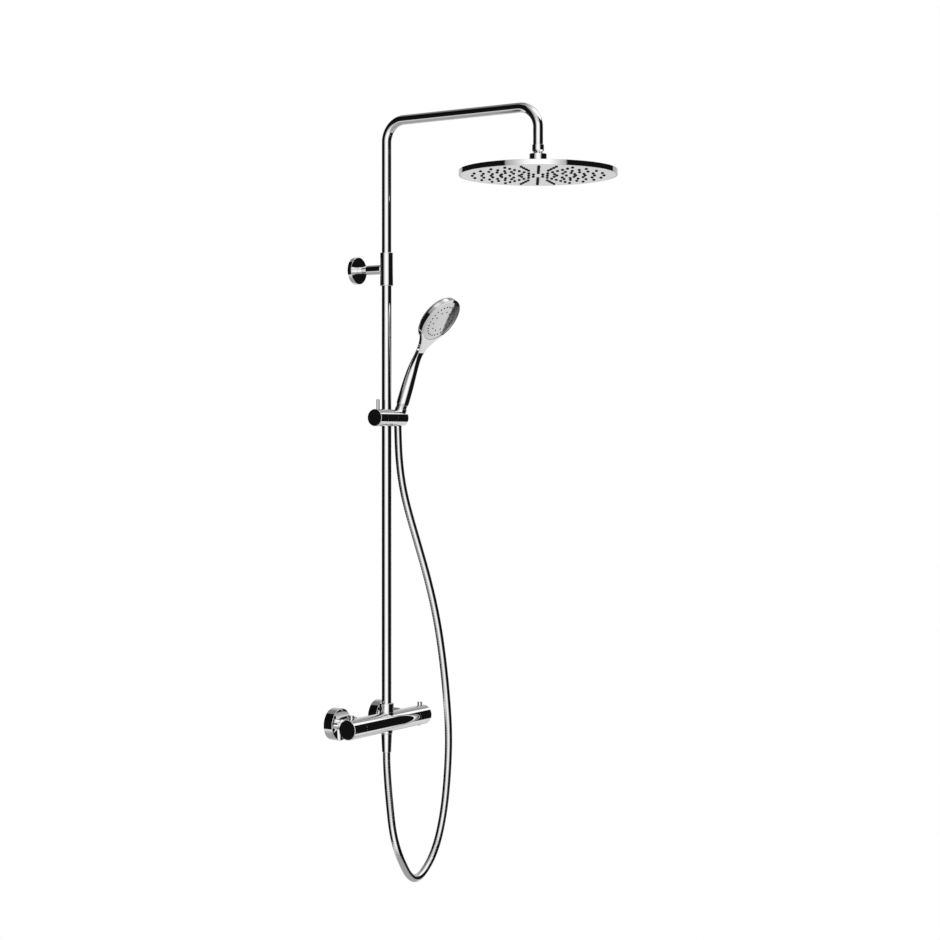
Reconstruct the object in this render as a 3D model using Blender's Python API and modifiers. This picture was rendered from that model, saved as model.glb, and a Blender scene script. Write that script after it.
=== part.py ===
"""Rainfall shower column: a bar mixer on two wall inlets carries a riser tube, a swan-neck arm with a
round rain head on a ball joint, and a hand shower on a sliding holder, fed by a hose.

Units are metres, +Z is up, X runs along the wall and the room is on the -Y side. The origin is on the
wall plane, midway between the two inlets.
"""
import math

import bmesh
import bpy
from mathutils import Matrix, Vector

MM = 0.001

# ---- clearances ------------------------------------------------------------------------------------
GAP = 0.3 * MM          # between faces that touch
RUN = 0.4 * MM          # radial clearance of a turning or sliding fit

# ---- driving dimensions ----------------------------------------------------------------------------
INLET_SPACING = 150 * MM
COLUMN_OFFSET = 76 * MM         # wall to the axis of the bar and the riser
COLUMN_RADIUS = 9.5 * MM
COLUMN_WALL = 1.5 * MM
ARM_HEIGHT = 1191 * MM
ARM_REACH = 348 * MM
BEND_RADIUS = 41 * MM
BRACKET_HEIGHT = 898 * MM
SLIDER_HEIGHT = 603.5 * MM

BAR_RADIUS = 19.5 * MM
BAR_LENGTH = 266 * MM
HANDLE_LENGTH = 39.5 * MM
CARTRIDGE_BORE = 15 * MM
CARTRIDGE_DEPTH = 60 * MM
SPINDLE_RADIUS = 4 * MM
INLET_NECK_RADIUS = 12.2 * MM
INLET_NECK_LENGTH = 27 * MM     # from the bar's axis
INLET_BORE = 6.5 * MM
WATERWAY = 5.5 * MM

ROSETTE_RADIUS = 31.5 * MM
ROSETTE_DEPTH = 20.5 * MM
ROSETTE_WALL = 1.5 * MM
INLET_PIPE_RADIUS = 9.6 * MM
INLET_THREAD_RADIUS = 10.45 * MM
INLET_INTO_WALL = 13 * MM
UNION_NUT_FLATS = 31 * MM
UNION_LIP = 3 * MM
WASHER_THICKNESS = 1.4 * MM

BUTTON_RADIUS = 4.7 * MM
BUTTON_PROUD = 7.2 * MM
BUTTON_FROM_END = 15 * MM

RISER_NUT_RADIUS = 14.2 * MM
RISER_NUT_TOP = 37.8 * MM
RISER_NECK_RADIUS = 12.3 * MM
RISER_NECK_LENGTH = 27 * MM
OUTLET_RADIUS = 8.2 * MM
OUTLET_LENGTH = 33 * MM

BRACKET_SLEEVE_RADIUS = COLUMN_RADIUS + 2.75 * MM
BRACKET_SLEEVE_LENGTH = 65.5 * MM
BRACKET_NECK_RADIUS = 6.8 * MM
WALL_ROSETTE_RADIUS = 27 * MM
WALL_ROSETTE_DEPTH = 9.2 * MM
WALL_ROSETTE_WALL = 1.2 * MM
WALL_PLATE_RADIUS = 24 * MM
WALL_PLATE_THICKNESS = 4 * MM
WALL_SCREW_PITCH = 30 * MM
WALL_SCREW_RADIUS = 2.1 * MM
WALL_SCREW_INTO_WALL = 12.5 * MM
PLATE_PEG_RADIUS = 4 * MM
PLATE_PEG_LENGTH = 10 * MM

HEAD_RADIUS = 150 * MM
HEAD_RIM = 9 * MM
HEAD_UNDERSIDE = ARM_HEIGHT - 132.2 * MM
HEAD_SKIN = 2 * MM
SPRAY_PLATE = 2.2 * MM
NOZZLE_PITCH = 17.75 * MM
NOZZLE_RINGS = 7
BALL_RADIUS = 11 * MM
BALL_ABOVE_UNDERSIDE = 29.2 * MM
SEAT_THICKNESS = 1.25 * MM
SWIVEL_NUT_RADIUS = 16.6 * MM
STEM_NECK_RADIUS = 7.45 * MM
STEM_COLLAR_RADIUS = COLUMN_RADIUS + 1.85 * MM
STEM_BORE = 4 * MM

SLIDER_RADIUS = 17 * MM
SLIDER_BODY_LENGTH = 35 * MM
SLIDER_BUSH_WALL = 2.4 * MM
KNOB_LENGTH = 23.5 * MM
KNOB_LEVER_RADIUS = 3.15 * MM
KNOB_LEVER_REACH = 36.5 * MM
CLAMP_SCREW_RADIUS = 4.9 * MM
HOLDER_LENGTH = 35 * MM
HOLDER_CUP_X = 41 * MM
HANDSET_LEAN = math.radians(19.6)

HOSE_RADIUS = 6.9 * MM
HOSE_NUT_LENGTH = 36.7 * MM
CONE_NUT_TOP = 28.7 * MM         # along the handset axis, from the slider's axis
CONE_NUT_BOTTOM = 6 * MM
CONE_NUT_TOP_RADIUS = 11 * MM
CONE_NUT_BOTTOM_RADIUS = 9.2 * MM
CONE_NUT_SEAT = 14 * MM
HANDSET_TAIL_RADIUS = 7.5 * MM

HANDSET_HEAD_RADIUS = 52.5 * MM
HANDSET_FACE_LEAN = math.radians(38)
HANDSET_FACE_RADIUS = 45.6 * MM
HANDSET_POCKET_DEPTH = 8 * MM
HANDSET_HEAD_DEPTH = 19.5 * MM
HANDSET_REACH = 186.3 * MM       # face centre, along the handset axis from its lower end
HANDSET_FORWARD = 27 * MM        # face centre, in front of the handset axis
HANDSET_BORE = 4.4 * MM

# ---- facets ----------------------------------------------------------------------------------------
WELD = 0.005 * MM
FINE = 28
ROUND = 20
SMALL = 12
WIDE = 36
NOZZLE_SIDES = 4

# ---- frames ----------------------------------------------------------------------------------------
RIGHT = Vector((1, 0, 0))
LEFT = -RIGHT
UP = Vector((0, 0, 1))
DOWN = -UP
ROOM = Vector((0, -1, 0))
WALL = -ROOM

for stale in list(bpy.data.objects):
    bpy.data.objects.remove(stale, do_unlink=True)

parts = bpy.data.collections.new("rainfall_shower_column")
cutters = bpy.data.collections.new("cutters")
bpy.context.scene.collection.children.link(parts)
bpy.context.scene.collection.children.link(cutters)


def look(name, colour, roughness, metallic):
    """A Principled material."""
    made = bpy.data.materials.new(name)
    made.use_nodes = True
    shader = made.node_tree.nodes["Principled BSDF"]
    shader.inputs["Base Color"].default_value = (*colour, 1)
    shader.inputs["Roughness"].default_value = roughness
    shader.inputs["Metallic"].default_value = metallic
    return made


CHROME = look("chrome", (0.86, 0.87, 0.88), 0.06, 1.0)
BRASS = look("brass", (0.70, 0.55, 0.28), 0.35, 1.0)
STEEL = look("stainless_steel", (0.62, 0.62, 0.63), 0.3, 1.0)
RUBBER = look("rubber", (0.03, 0.03, 0.03), 0.7, 0.0)
GREY_PLASTIC = look("light_grey_plastic", (0.66, 0.67, 0.68), 0.35, 0.0)
WHITE_PLASTIC = look("white_plastic", (0.85, 0.85, 0.83), 0.4, 0.0)
SILICONE = look("silicone", (0.20, 0.20, 0.21), 0.55, 0.0)
CERAMIC = look("ceramic", (0.82, 0.80, 0.74), 0.25, 0.0)
WAX = look("copper_capsule", (0.72, 0.40, 0.25), 0.35, 1.0)


# ---- modelling helpers -----------------------------------------------------------------------------
def placed(origin, direction):
    """The frame at origin whose +Z runs along direction."""
    turn = Vector(direction).to_track_quat("Z", "Y").to_matrix().to_4x4()
    return Matrix.Translation(origin) @ turn


def add(name, mesh, frame, material, cutter=False):
    """A new object, among the parts or the cutters."""
    obj = bpy.data.objects.new(name, mesh)
    obj.matrix_world = frame
    mesh.materials.append(material)
    (cutters if cutter else parts).objects.link(obj)
    if cutter:
        obj.hide_render = True
        obj.display_type = "WIRE"
    return obj


def turned(name, profile, frame, material=CHROME, steps=ROUND, cutter=False):
    """A turned piece. The profile is (radius, height) points, down its outer side first; a profile that
    doesn't start and end on the axis closes on itself and leaves a bore."""
    mesh = bpy.data.meshes.new(name)
    count = len(profile)
    edges = [(i, i + 1) for i in range(count - 1)]
    if profile[0][0] > 0:
        edges.append((count - 1, 0))
    mesh.from_pydata([(radius, 0, height) for radius, height in profile], edges, [])
    obj = add(name, mesh, frame, material, cutter)
    screw = obj.modifiers.new("turn", "SCREW")
    screw.axis = "Z"
    screw.angle = 2 * math.pi
    screw.steps = steps
    screw.render_steps = steps
    screw.use_merge_vertices = True
    screw.merge_threshold = 0.00001
    screw.use_smooth_shade = True
    return obj


def rod(name, radius, low, high, frame, material=CHROME, steps=SMALL, cutter=False):
    return turned(name, [(0, high), (radius, high), (radius, low), (0, low)], frame, material, steps, cutter)


def ring(name, outer, inner, low, high, frame, material=CHROME, steps=SMALL):
    return turned(name, [(outer, high), (outer, low), (inner, low), (inner, high)], frame, material, steps)


def block(name, low, high, frame, cutter=True):
    """A box between two corners of the frame."""
    mesh = bpy.data.meshes.new(name)
    made = bmesh.new()
    bmesh.ops.create_cube(made, size=1)
    size = [b - a for a, b in zip(low, high)]
    bmesh.ops.scale(made, vec=size, verts=made.verts)
    bmesh.ops.translate(made, vec=[(a + b) / 2 for a, b in zip(low, high)], verts=made.verts)
    made.to_mesh(mesh)
    made.free()
    return add(name, mesh, frame, CHROME, cutter)


def prism(name, flats, low, high, frame, material):
    """A hexagon bar of the given width across flats."""
    mesh = bpy.data.meshes.new(name)
    made = bmesh.new()
    corner = flats / 2 / math.cos(math.pi / 6)
    bmesh.ops.create_cone(made, cap_ends=True, segments=6, radius1=corner, radius2=corner, depth=high - low)
    bmesh.ops.translate(made, vec=(0, 0, (low + high) / 2), verts=made.verts)
    made.to_mesh(mesh)
    made.free()
    return add(name, mesh, frame, material)


def swept(name, points, radius, material=CHROME, bevel=8, cutter=False, scale=None):
    """A round rod along points, made a closed mesh. scale gives each point's share of the radius."""
    curve = bpy.data.curves.new(name, "CURVE")
    curve.dimensions = "3D"
    curve.bevel_depth = radius
    curve.bevel_resolution = bevel
    curve.use_fill_caps = True
    spline = curve.splines.new("POLY")
    spline.points.add(len(points) - 1)
    for i, point in enumerate(points):
        spline.points[i].co = (*point, 1)
        spline.points[i].radius = scale[i] if scale else 1
    rail = bpy.data.objects.new(name + "_rail", curve)
    parts.objects.link(rail)
    bpy.context.view_layer.update()
    graph = bpy.context.evaluated_depsgraph_get()
    mesh = bpy.data.meshes.new_from_object(rail.evaluated_get(graph))
    made = bmesh.new()
    made.from_mesh(mesh)
    bmesh.ops.remove_doubles(made, verts=made.verts, dist=0.00001)
    bmesh.ops.recalc_face_normals(made, faces=made.faces)
    made.to_mesh(mesh)
    made.free()
    frame = rail.matrix_world.copy()
    bpy.data.objects.remove(rail, do_unlink=True)
    mesh.shade_smooth()
    return add(name, mesh, frame, material, cutter)


def boolean(obj, other, operation, solver="EXACT"):
    step = obj.modifiers.new(operation.lower(), "BOOLEAN")
    step.operation = operation
    step.object = other
    step.solver = solver


def cut(obj, tool, solver="EXACT"):
    boolean(obj, tool, "DIFFERENCE", solver)


def fuse(obj, *others):
    """Joins others to obj; they are given as cutters."""
    for other in others:
        boolean(obj, other, "UNION")


def arc(centre, start, end, normal, count):
    """Points of a round bend from start to end about centre, both ends included."""
    first = start - centre
    angle = first.angle(end - centre)
    return [centre + Matrix.Rotation(angle * i / count, 3, normal) @ first for i in range(count + 1)]


def smooth_route(points, per_span):
    """A smooth curve through the points (Catmull-Rom), with per_span steps between each two."""
    ends = [2 * points[0] - points[1], *points, 2 * points[-1] - points[-2]]
    route = []
    for a, b, c, d in zip(ends, ends[1:], ends[2:], ends[3:]):
        for i in range(per_span):
            t = i / per_span
            route.append(0.5 * (2 * b + (c - a) * t + (2 * a - 5 * b + 4 * c - d) * t * t
                                + (3 * b - a - 3 * c + d) * t ** 3))
    return [*route, points[-1]]


# ---- bar mixer -------------------------------------------------------------------------------------
BAR = Vector((0, -COLUMN_OFFSET, 0))
BODY_HALF = BAR_LENGTH / 2 - HANDLE_LENGTH - GAP / 2
HANDLE_START = BAR_LENGTH / 2 - HANDLE_LENGTH + GAP / 2
BORE_END = BODY_HALF - CARTRIDGE_DEPTH


def inlet_frame(side):
    """On the bar's axis, at an inlet, with +Z towards the wall."""
    return placed(BAR + side * INLET_SPACING / 2, WALL)


def valve_body():
    along = placed(BAR, RIGHT)
    body = rod("valve_body", BAR_RADIUS, -BODY_HALF, BODY_HALF, along, CHROME, FINE)
    upward = placed(BAR, UP)
    downward = placed(BAR, DOWN)
    root = BAR_RADIUS * 0.6
    boss = BAR_RADIUS + 0.5 * MM
    fuse(body, turned("riser_boss", [
        (0, RISER_NECK_LENGTH), (RISER_NECK_RADIUS, RISER_NECK_LENGTH), (RISER_NECK_RADIUS, boss),
        (RISER_NUT_RADIUS, boss), (RISER_NUT_RADIUS, root), (0, root)], upward, CHROME, ROUND, True))
    flare = OUTLET_RADIUS + 3.6 * MM
    fuse(body, turned("outlet_boss", [
        (0, OUTLET_LENGTH), (OUTLET_RADIUS, OUTLET_LENGTH), (OUTLET_RADIUS, HOSE_NUT_START - GAP),
        (flare - 1 * MM, HOSE_NUT_START - GAP), (flare, root), (0, root)], downward, CHROME, ROUND, True))
    for word, side in (("right", RIGHT), ("left", LEFT)):
        fuse(body, rod(word + "_neck", INLET_NECK_RADIUS, root, INLET_NECK_LENGTH, inlet_frame(side),
                       CHROME, ROUND, True))
    over = 5 * MM
    cut(body, turned("bar_bore", [
        (0, BODY_HALF + over), (CARTRIDGE_BORE, BODY_HALF + over), (CARTRIDGE_BORE, BORE_END),
        (WATERWAY, BORE_END), (WATERWAY, -BORE_END), (CARTRIDGE_BORE, -BORE_END),
        (CARTRIDGE_BORE, -BODY_HALF - over), (0, -BODY_HALF - over)], along, CHROME, ROUND, True))
    cut(body, rod("riser_waterway", WATERWAY, 0, RISER_NECK_LENGTH + over, upward, CHROME, SMALL, True))
    cut(body, rod("outlet_waterway", WATERWAY, 0, OUTLET_LENGTH + over, downward, CHROME, SMALL, True))
    for word, side in (("right", RIGHT), ("left", LEFT)):
        cut(body, rod(word + "_inlet_bore", INLET_BORE, CARTRIDGE_BORE * 0.7, INLET_NECK_LENGTH + over,
                      inlet_frame(side), CHROME, SMALL, True), "MANIFOLD")


def inlet(word, side):
    """S-union, its nut, sealing washer and rosette, along the inlet's axis from the bar to the wall."""
    frame = inlet_frame(side)
    washer = INLET_NECK_LENGTH + GAP
    collar = washer + WASHER_THICKNESS + GAP
    collar_end = collar + 5.6 * MM
    rosette_face = COLUMN_OFFSET - ROSETTE_DEPTH
    ring(word + "_filter_washer", INLET_NECK_RADIUS, INLET_BORE, washer, washer + WASHER_THICKNESS,
         frame, RUBBER)
    end = COLUMN_OFFSET + INLET_INTO_WALL
    turned(word + "_inlet_connector", [
        (INLET_THREAD_RADIUS, end), (INLET_THREAD_RADIUS, rosette_face + ROSETTE_WALL),
        (INLET_PIPE_RADIUS, rosette_face - 1 * MM), (INLET_PIPE_RADIUS, collar_end),
        (INLET_NECK_RADIUS, collar_end), (INLET_NECK_RADIUS, collar), (INLET_BORE, collar),
        (INLET_BORE, end)], frame, BRASS, ROUND)
    nut_start = BAR_RADIUS + GAP
    nut = prism(word + "_union_nut", UNION_NUT_FLATS, nut_start, collar_end + GAP + UNION_LIP, frame, CHROME)
    over = 5 * MM
    cut(nut, turned(word + "_nut_bore", [
        (0, collar_end + UNION_LIP + over), (INLET_PIPE_RADIUS + GAP, collar_end + UNION_LIP + over),
        (INLET_PIPE_RADIUS + GAP, collar_end + GAP), (INLET_NECK_RADIUS + GAP, collar_end + GAP),
        (INLET_NECK_RADIUS + GAP, nut_start - over), (0, nut_start - over)], frame, CHROME, ROUND, True))
    hole = INLET_THREAD_RADIUS + GAP
    turned(word + "_rosette", [
        (ROSETTE_RADIUS, COLUMN_OFFSET), (ROSETTE_RADIUS, rosette_face + 0.6 * MM),
        (ROSETTE_RADIUS - 0.6 * MM, rosette_face), (hole, rosette_face),
        (hole, rosette_face + ROSETTE_WALL), (ROSETTE_RADIUS - ROSETTE_WALL, rosette_face + ROSETTE_WALL),
        (ROSETTE_RADIUS - ROSETTE_WALL, COLUMN_OFFSET)], frame, CHROME, FINE)


HUB_RADIUS = SPINDLE_RADIUS + 3.5 * MM
HANDLE_WALL = 3 * MM
HANDLE_END_WALL = 6 * MM
HANDLE_HUB_START = HANDLE_START + 7 * MM
SPINDLE_END = BAR_LENGTH / 2 - HANDLE_END_WALL - 4 * MM
BUTTON_X = BAR_LENGTH / 2 - BUTTON_FROM_END
BUTTON_FLANGE = BUTTON_RADIUS + 1.1 * MM
HANDLE_BORE = BAR_RADIUS - HANDLE_WALL
FLANGE_TOP = math.sqrt(HANDLE_BORE ** 2 - BUTTON_FLANGE ** 2) * 0.97
FLANGE_THICKNESS = 1.5 * MM
SPRING_WIRE = 0.35 * MM


def handle(word, side):
    """Hollow handle with a hub on the spindle, and its stop button on a spring."""
    frame = placed(BAR, side)
    end = BAR_LENGTH / 2
    bevel = 1 * MM
    shell = turned(word + "_handle", [
        (0, end), (BAR_RADIUS - bevel, end), (BAR_RADIUS, end - bevel), (BAR_RADIUS, HANDLE_START),
        (HANDLE_BORE, HANDLE_START), (HANDLE_BORE, end - HANDLE_END_WALL),
        (HUB_RADIUS, end - HANDLE_END_WALL), (HUB_RADIUS, HANDLE_HUB_START),
        (SPINDLE_RADIUS + GAP, HANDLE_HUB_START), (SPINDLE_RADIUS + GAP, SPINDLE_END + GAP),
        (0, SPINDLE_END + GAP)], frame, CHROME, FINE)
    upward = placed(BAR + side * BUTTON_X, UP)
    cut(shell, rod(word + "_button_hole", BUTTON_RADIUS + GAP, FLANGE_TOP - 2 * MM, BAR_RADIUS + 5 * MM,
                   upward, CHROME, SMALL, True))
    top = BAR_RADIUS + BUTTON_PROUD
    turned(word + "_stop_button", [
        (0, top), (BUTTON_RADIUS - 0.7 * MM, top), (BUTTON_RADIUS, top - 0.7 * MM),
        (BUTTON_RADIUS, FLANGE_TOP), (BUTTON_FLANGE, FLANGE_TOP), (BUTTON_FLANGE, FLANGE_TOP - FLANGE_THICKNESS),
        (0, FLANGE_TOP - FLANGE_THICKNESS)], upward, CHROME, SMALL)
    low = HUB_RADIUS + GAP + SPRING_WIRE
    high = FLANGE_TOP - FLANGE_THICKNESS - GAP - SPRING_WIRE
    turns, per_turn, coil = 2, 10, BUTTON_RADIUS - 1.2 * MM
    centre = BAR + side * BUTTON_X
    points = [centre + Vector((coil * math.cos(2 * math.pi * i / per_turn),
                               coil * math.sin(2 * math.pi * i / per_turn),
                               low + (high - low) * i / (turns * per_turn)))
              for i in range(turns * per_turn + 1)]
    swept(word + "_button_spring", points, SPRING_WIRE, STEEL, 1)
    return shell


def temperature_side():
    """Handle on the right, with the thermostat behind it."""
    shell = handle("temperature", RIGHT)
    screw_x = BUTTON_X - 2 * MM
    below = placed(BAR + RIGHT * screw_x, DOWN)
    cut(shell, rod("grub_hole", 2.3 * MM, SPINDLE_RADIUS + GAP / 2, BAR_RADIUS + 5 * MM, below, CHROME,
                   SMALL, True))
    rod("temperature_grub_screw", 2 * MM, SPINDLE_RADIUS + GAP, BAR_RADIUS + 1.5 * MM, below, STEEL)
    frame = placed(BAR, RIGHT)
    nut_end = BODY_HALF - GAP
    nut_start = nut_end - 8 * MM
    cartridge_end = nut_start - GAP
    start = BORE_END + GAP
    neck = BODY_HALF + 5 * MM
    neck_radius = 9 * MM
    outer = CARTRIDGE_BORE - RUN
    cavity = 6 * MM
    turned("thermostat_cartridge", [
        (neck_radius, neck), (neck_radius, cartridge_end), (outer, cartridge_end),
        (outer, cartridge_end - 3 * MM), (outer - 3 * MM, cartridge_end - 3 * MM),
        (outer - 3 * MM, start + 30 * MM), (outer, start + 30 * MM), (outer, start), (cavity, start),
        (cavity, cartridge_end - 6 * MM), (SPINDLE_RADIUS + RUN, cartridge_end - 6 * MM),
        (SPINDLE_RADIUS + RUN, neck)], frame, WHITE_PLASTIC, SMALL)
    ring("thermostat_retaining_nut", outer, neck_radius + GAP, nut_start, nut_end, frame, BRASS)
    rod("wax_element", cavity - RUN, start + 6 * MM, cartridge_end - 14 * MM, frame, WAX)
    rod("thermostat_spindle", SPINDLE_RADIUS, cartridge_end - 6 * MM, SPINDLE_END, frame, BRASS)


def flow_side():
    """Handle on the left, with the ceramic flow and diverter cartridge behind it."""
    handle("flow", LEFT)
    frame = placed(BAR, LEFT)
    nut_end = BODY_HALF - GAP
    nut_start = nut_end - 8 * MM
    cartridge_end = nut_start - GAP
    outer = CARTRIDGE_BORE - RUN
    fixed = BORE_END + GAP
    moving = fixed + 3 * MM + GAP
    disc = 3 * MM
    cavity = outer - 2 * MM
    neck = BODY_HALF + 5 * MM
    neck_radius = 9 * MM
    ring("diverter_fixed_disc", outer, WATERWAY - 1 * MM, fixed, fixed + 3 * MM, frame, CERAMIC)
    turned("diverter_cartridge", [
        (neck_radius, neck), (neck_radius, cartridge_end), (outer, cartridge_end),
        (outer, cartridge_end - 3 * MM), (outer - 1 * MM, cartridge_end - 3 * MM),
        (outer - 1 * MM, moving + 10 * MM), (outer, moving + 10 * MM), (outer, moving), (cavity, moving),
        (cavity, moving + disc + 2 * GAP), (SPINDLE_RADIUS + RUN, moving + disc + 2 * GAP),
        (SPINDLE_RADIUS + RUN, neck)], frame, WHITE_PLASTIC, SMALL)
    ring("diverter_retaining_nut", outer, neck_radius + GAP, nut_start, nut_end, frame, BRASS)
    turned("diverter_spindle", [
        (0, SPINDLE_END), (SPINDLE_RADIUS, SPINDLE_END), (SPINDLE_RADIUS, moving + disc + GAP),
        (cavity - 2 * RUN, moving + disc), (cavity - 2 * RUN, moving + GAP), (0, moving + GAP)], frame,
        CERAMIC)


# ---- riser and wall bracket ------------------------------------------------------------------------
TUBE_BORE = COLUMN_RADIUS - COLUMN_WALL
SPIGOT_RADIUS = TUBE_BORE - RUN
TUBE_JOINT = BRACKET_HEIGHT - 1 * MM
SPIGOT_LENGTH = 54 * MM


def riser():
    """Nut, seal and lower tube, then the plug-in joint inside the bracket."""
    frame = placed(BAR, UP)
    seal = RISER_NECK_LENGTH + GAP
    flange = seal + WASHER_THICKNESS + GAP
    flange_top = flange + 3.4 * MM
    nut_bottom = BAR_RADIUS + 0.5 * MM + GAP
    ring("riser_seal", RISER_NECK_RADIUS, WATERWAY, seal, seal + WASHER_THICKNESS, frame, RUBBER)
    tube_outer = COLUMN_RADIUS + GAP
    turned("riser_nut", [
        (RISER_NUT_RADIUS - 0.6 * MM, RISER_NUT_TOP), (RISER_NUT_RADIUS, RISER_NUT_TOP - 0.6 * MM),
        (RISER_NUT_RADIUS, nut_bottom), (RISER_NECK_RADIUS + GAP, nut_bottom),
        (RISER_NECK_RADIUS + GAP, flange_top + GAP), (tube_outer, flange_top + GAP),
        (tube_outer, RISER_NUT_TOP)], frame)
    turned("lower_riser_tube", [
        (COLUMN_RADIUS, TUBE_JOINT - GAP / 2), (COLUMN_RADIUS, flange_top), (RISER_NECK_RADIUS, flange_top),
        (RISER_NECK_RADIUS, flange), (TUBE_BORE, flange), (TUBE_BORE, TUBE_JOINT - GAP / 2)], frame)
    joint = placed(BAR + UP * TUBE_JOINT, UP)
    half = SPIGOT_LENGTH / 2
    groove, groove_width, depth = 12 * MM, 2 * MM, 0.7 * MM
    outline = [(SPIGOT_RADIUS, half)]
    for centre in (groove, -groove):
        outline += [(SPIGOT_RADIUS, centre + groove_width / 2), (SPIGOT_RADIUS - depth, centre + groove_width / 2),
                    (SPIGOT_RADIUS - depth, centre - groove_width / 2), (SPIGOT_RADIUS, centre - groove_width / 2)]
    outline += [(SPIGOT_RADIUS, -half), (SPIGOT_RADIUS - 1.6 * MM, -half), (SPIGOT_RADIUS - 1.6 * MM, half)]
    turned("tube_spigot", outline, joint, BRASS, SMALL)
    for word, centre in (("upper", groove), ("lower", -groove)):
        ring(word + "_spigot_oring", SPIGOT_RADIUS + 0.1 * MM, SPIGOT_RADIUS - depth + 0.2 * MM,
             centre - groove_width / 2 + GAP, centre + groove_width / 2 - GAP, joint, RUBBER)


def wall_bracket():
    """Sleeve and stub on a wall plate, under a rosette."""
    level = BAR + UP * BRACKET_HEIGHT
    half = BRACKET_SLEEVE_LENGTH / 2
    bevel = 1.5 * MM
    bore = COLUMN_RADIUS + GAP
    sleeve = turned("wall_bracket", [
        (BRACKET_SLEEVE_RADIUS - bevel, half), (BRACKET_SLEEVE_RADIUS, half - bevel),
        (BRACKET_SLEEVE_RADIUS, -half), (bore, -half), (bore, half)], placed(level, UP), CHROME, ROUND)
    back = placed(level, WALL)
    stub_end = COLUMN_OFFSET - WALL_PLATE_THICKNESS - GAP
    cone_start = COLUMN_OFFSET - 31.6 * MM
    cone_end = COLUMN_OFFSET - 18.6 * MM
    root = BRACKET_SLEEVE_RADIUS - 1.2 * MM
    peg_hole = PLATE_PEG_RADIUS + GAP
    peg_depth = stub_end - PLATE_PEG_LENGTH - GAP
    fuse(sleeve, turned("stub", [
        (0, stub_end), (BRACKET_NECK_RADIUS, stub_end), (BRACKET_NECK_RADIUS, cone_end),
        (COLUMN_RADIUS, cone_start), (COLUMN_RADIUS, root), (0, root)], back, CHROME, ROUND, True))
    cut(sleeve, rod("peg_hole", peg_hole, peg_depth, stub_end + 5 * MM, back, CHROME, SMALL, True))
    grub_y = -(WALL_ROSETTE_DEPTH + 3 * MM)
    below = placed(Vector((0, grub_y, BRACKET_HEIGHT)), DOWN)
    cut(sleeve, rod("bracket_grub_hole", 1.6 * MM, PLATE_PEG_RADIUS - 1 * MM, BRACKET_NECK_RADIUS + 3 * MM,
                    below, CHROME, SMALL, True))
    rod("bracket_grub_screw", 1.3 * MM, PLATE_PEG_RADIUS + GAP, BRACKET_NECK_RADIUS - 0.4 * MM, below, STEEL,
        SMALL)
    wall = placed(Vector((0, 0, BRACKET_HEIGHT)), ROOM)
    plate = turned("wall_plate", [
        (0, WALL_PLATE_THICKNESS + PLATE_PEG_LENGTH), (PLATE_PEG_RADIUS, WALL_PLATE_THICKNESS + PLATE_PEG_LENGTH),
        (PLATE_PEG_RADIUS, WALL_PLATE_THICKNESS), (WALL_PLATE_RADIUS, WALL_PLATE_THICKNESS),
        (WALL_PLATE_RADIUS, 0), (0, 0)], wall, STEEL, ROUND)
    for word, side in (("upper", 1), ("lower", -1)):
        spot = placed(Vector((0, 0, BRACKET_HEIGHT + side * WALL_SCREW_PITCH / 2)), ROOM)
        cut(plate, rod(word + "_screw_hole", WALL_SCREW_RADIUS + GAP, -5 * MM, WALL_PLATE_THICKNESS + 5 * MM,
                       spot, CHROME, SMALL, True))
        head = WALL_PLATE_THICKNESS + GAP
        turned(word + "_wall_screw", [
            (0, head + 2.2 * MM), (2.4 * MM, head + 2.2 * MM), (3.8 * MM, head), (WALL_SCREW_RADIUS, head),
            (WALL_SCREW_RADIUS, 2 * MM - WALL_SCREW_INTO_WALL), (0, -WALL_SCREW_INTO_WALL)], spot, STEEL, 12)
    hole = BRACKET_NECK_RADIUS + GAP
    depth, skin = WALL_ROSETTE_DEPTH, WALL_ROSETTE_WALL
    turned("wall_rosette", [
        (hole, depth), (WALL_ROSETTE_RADIUS - 0.6 * MM, depth), (WALL_ROSETTE_RADIUS, depth - 0.6 * MM),
        (WALL_ROSETTE_RADIUS, 0), (WALL_ROSETTE_RADIUS - skin, 0), (WALL_ROSETTE_RADIUS - skin, depth - skin),
        (hole, depth - skin)], wall, CHROME, FINE)


# ---- arm and rain head -----------------------------------------------------------------------------
HEAD = BAR + ROOM * ARM_REACH
BALL_HEIGHT = HEAD_UNDERSIDE + BALL_ABOVE_UNDERSIDE
COLLAR_TOP = BALL_HEIGHT + 29 * MM
COLLAR_BOTTOM = BALL_HEIGHT + 18.6 * MM
ARM_END = COLLAR_TOP + GAP


def arm_route(low, end):
    """Up the riser, out along the arm and down to the head."""
    rise = BAR + UP * (ARM_HEIGHT - BEND_RADIUS)
    inner = BAR + UP * ARM_HEIGHT + ROOM * BEND_RADIUS
    outer = HEAD + UP * ARM_HEIGHT - ROOM * BEND_RADIUS
    drop = HEAD + UP * (ARM_HEIGHT - BEND_RADIUS)
    first = arc(inner + DOWN * BEND_RADIUS, rise, inner, RIGHT, 7)
    second = arc(outer + DOWN * BEND_RADIUS, outer, drop, RIGHT, 7)
    return [BAR + UP * low, *first, *second, HEAD + UP * end]


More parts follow.
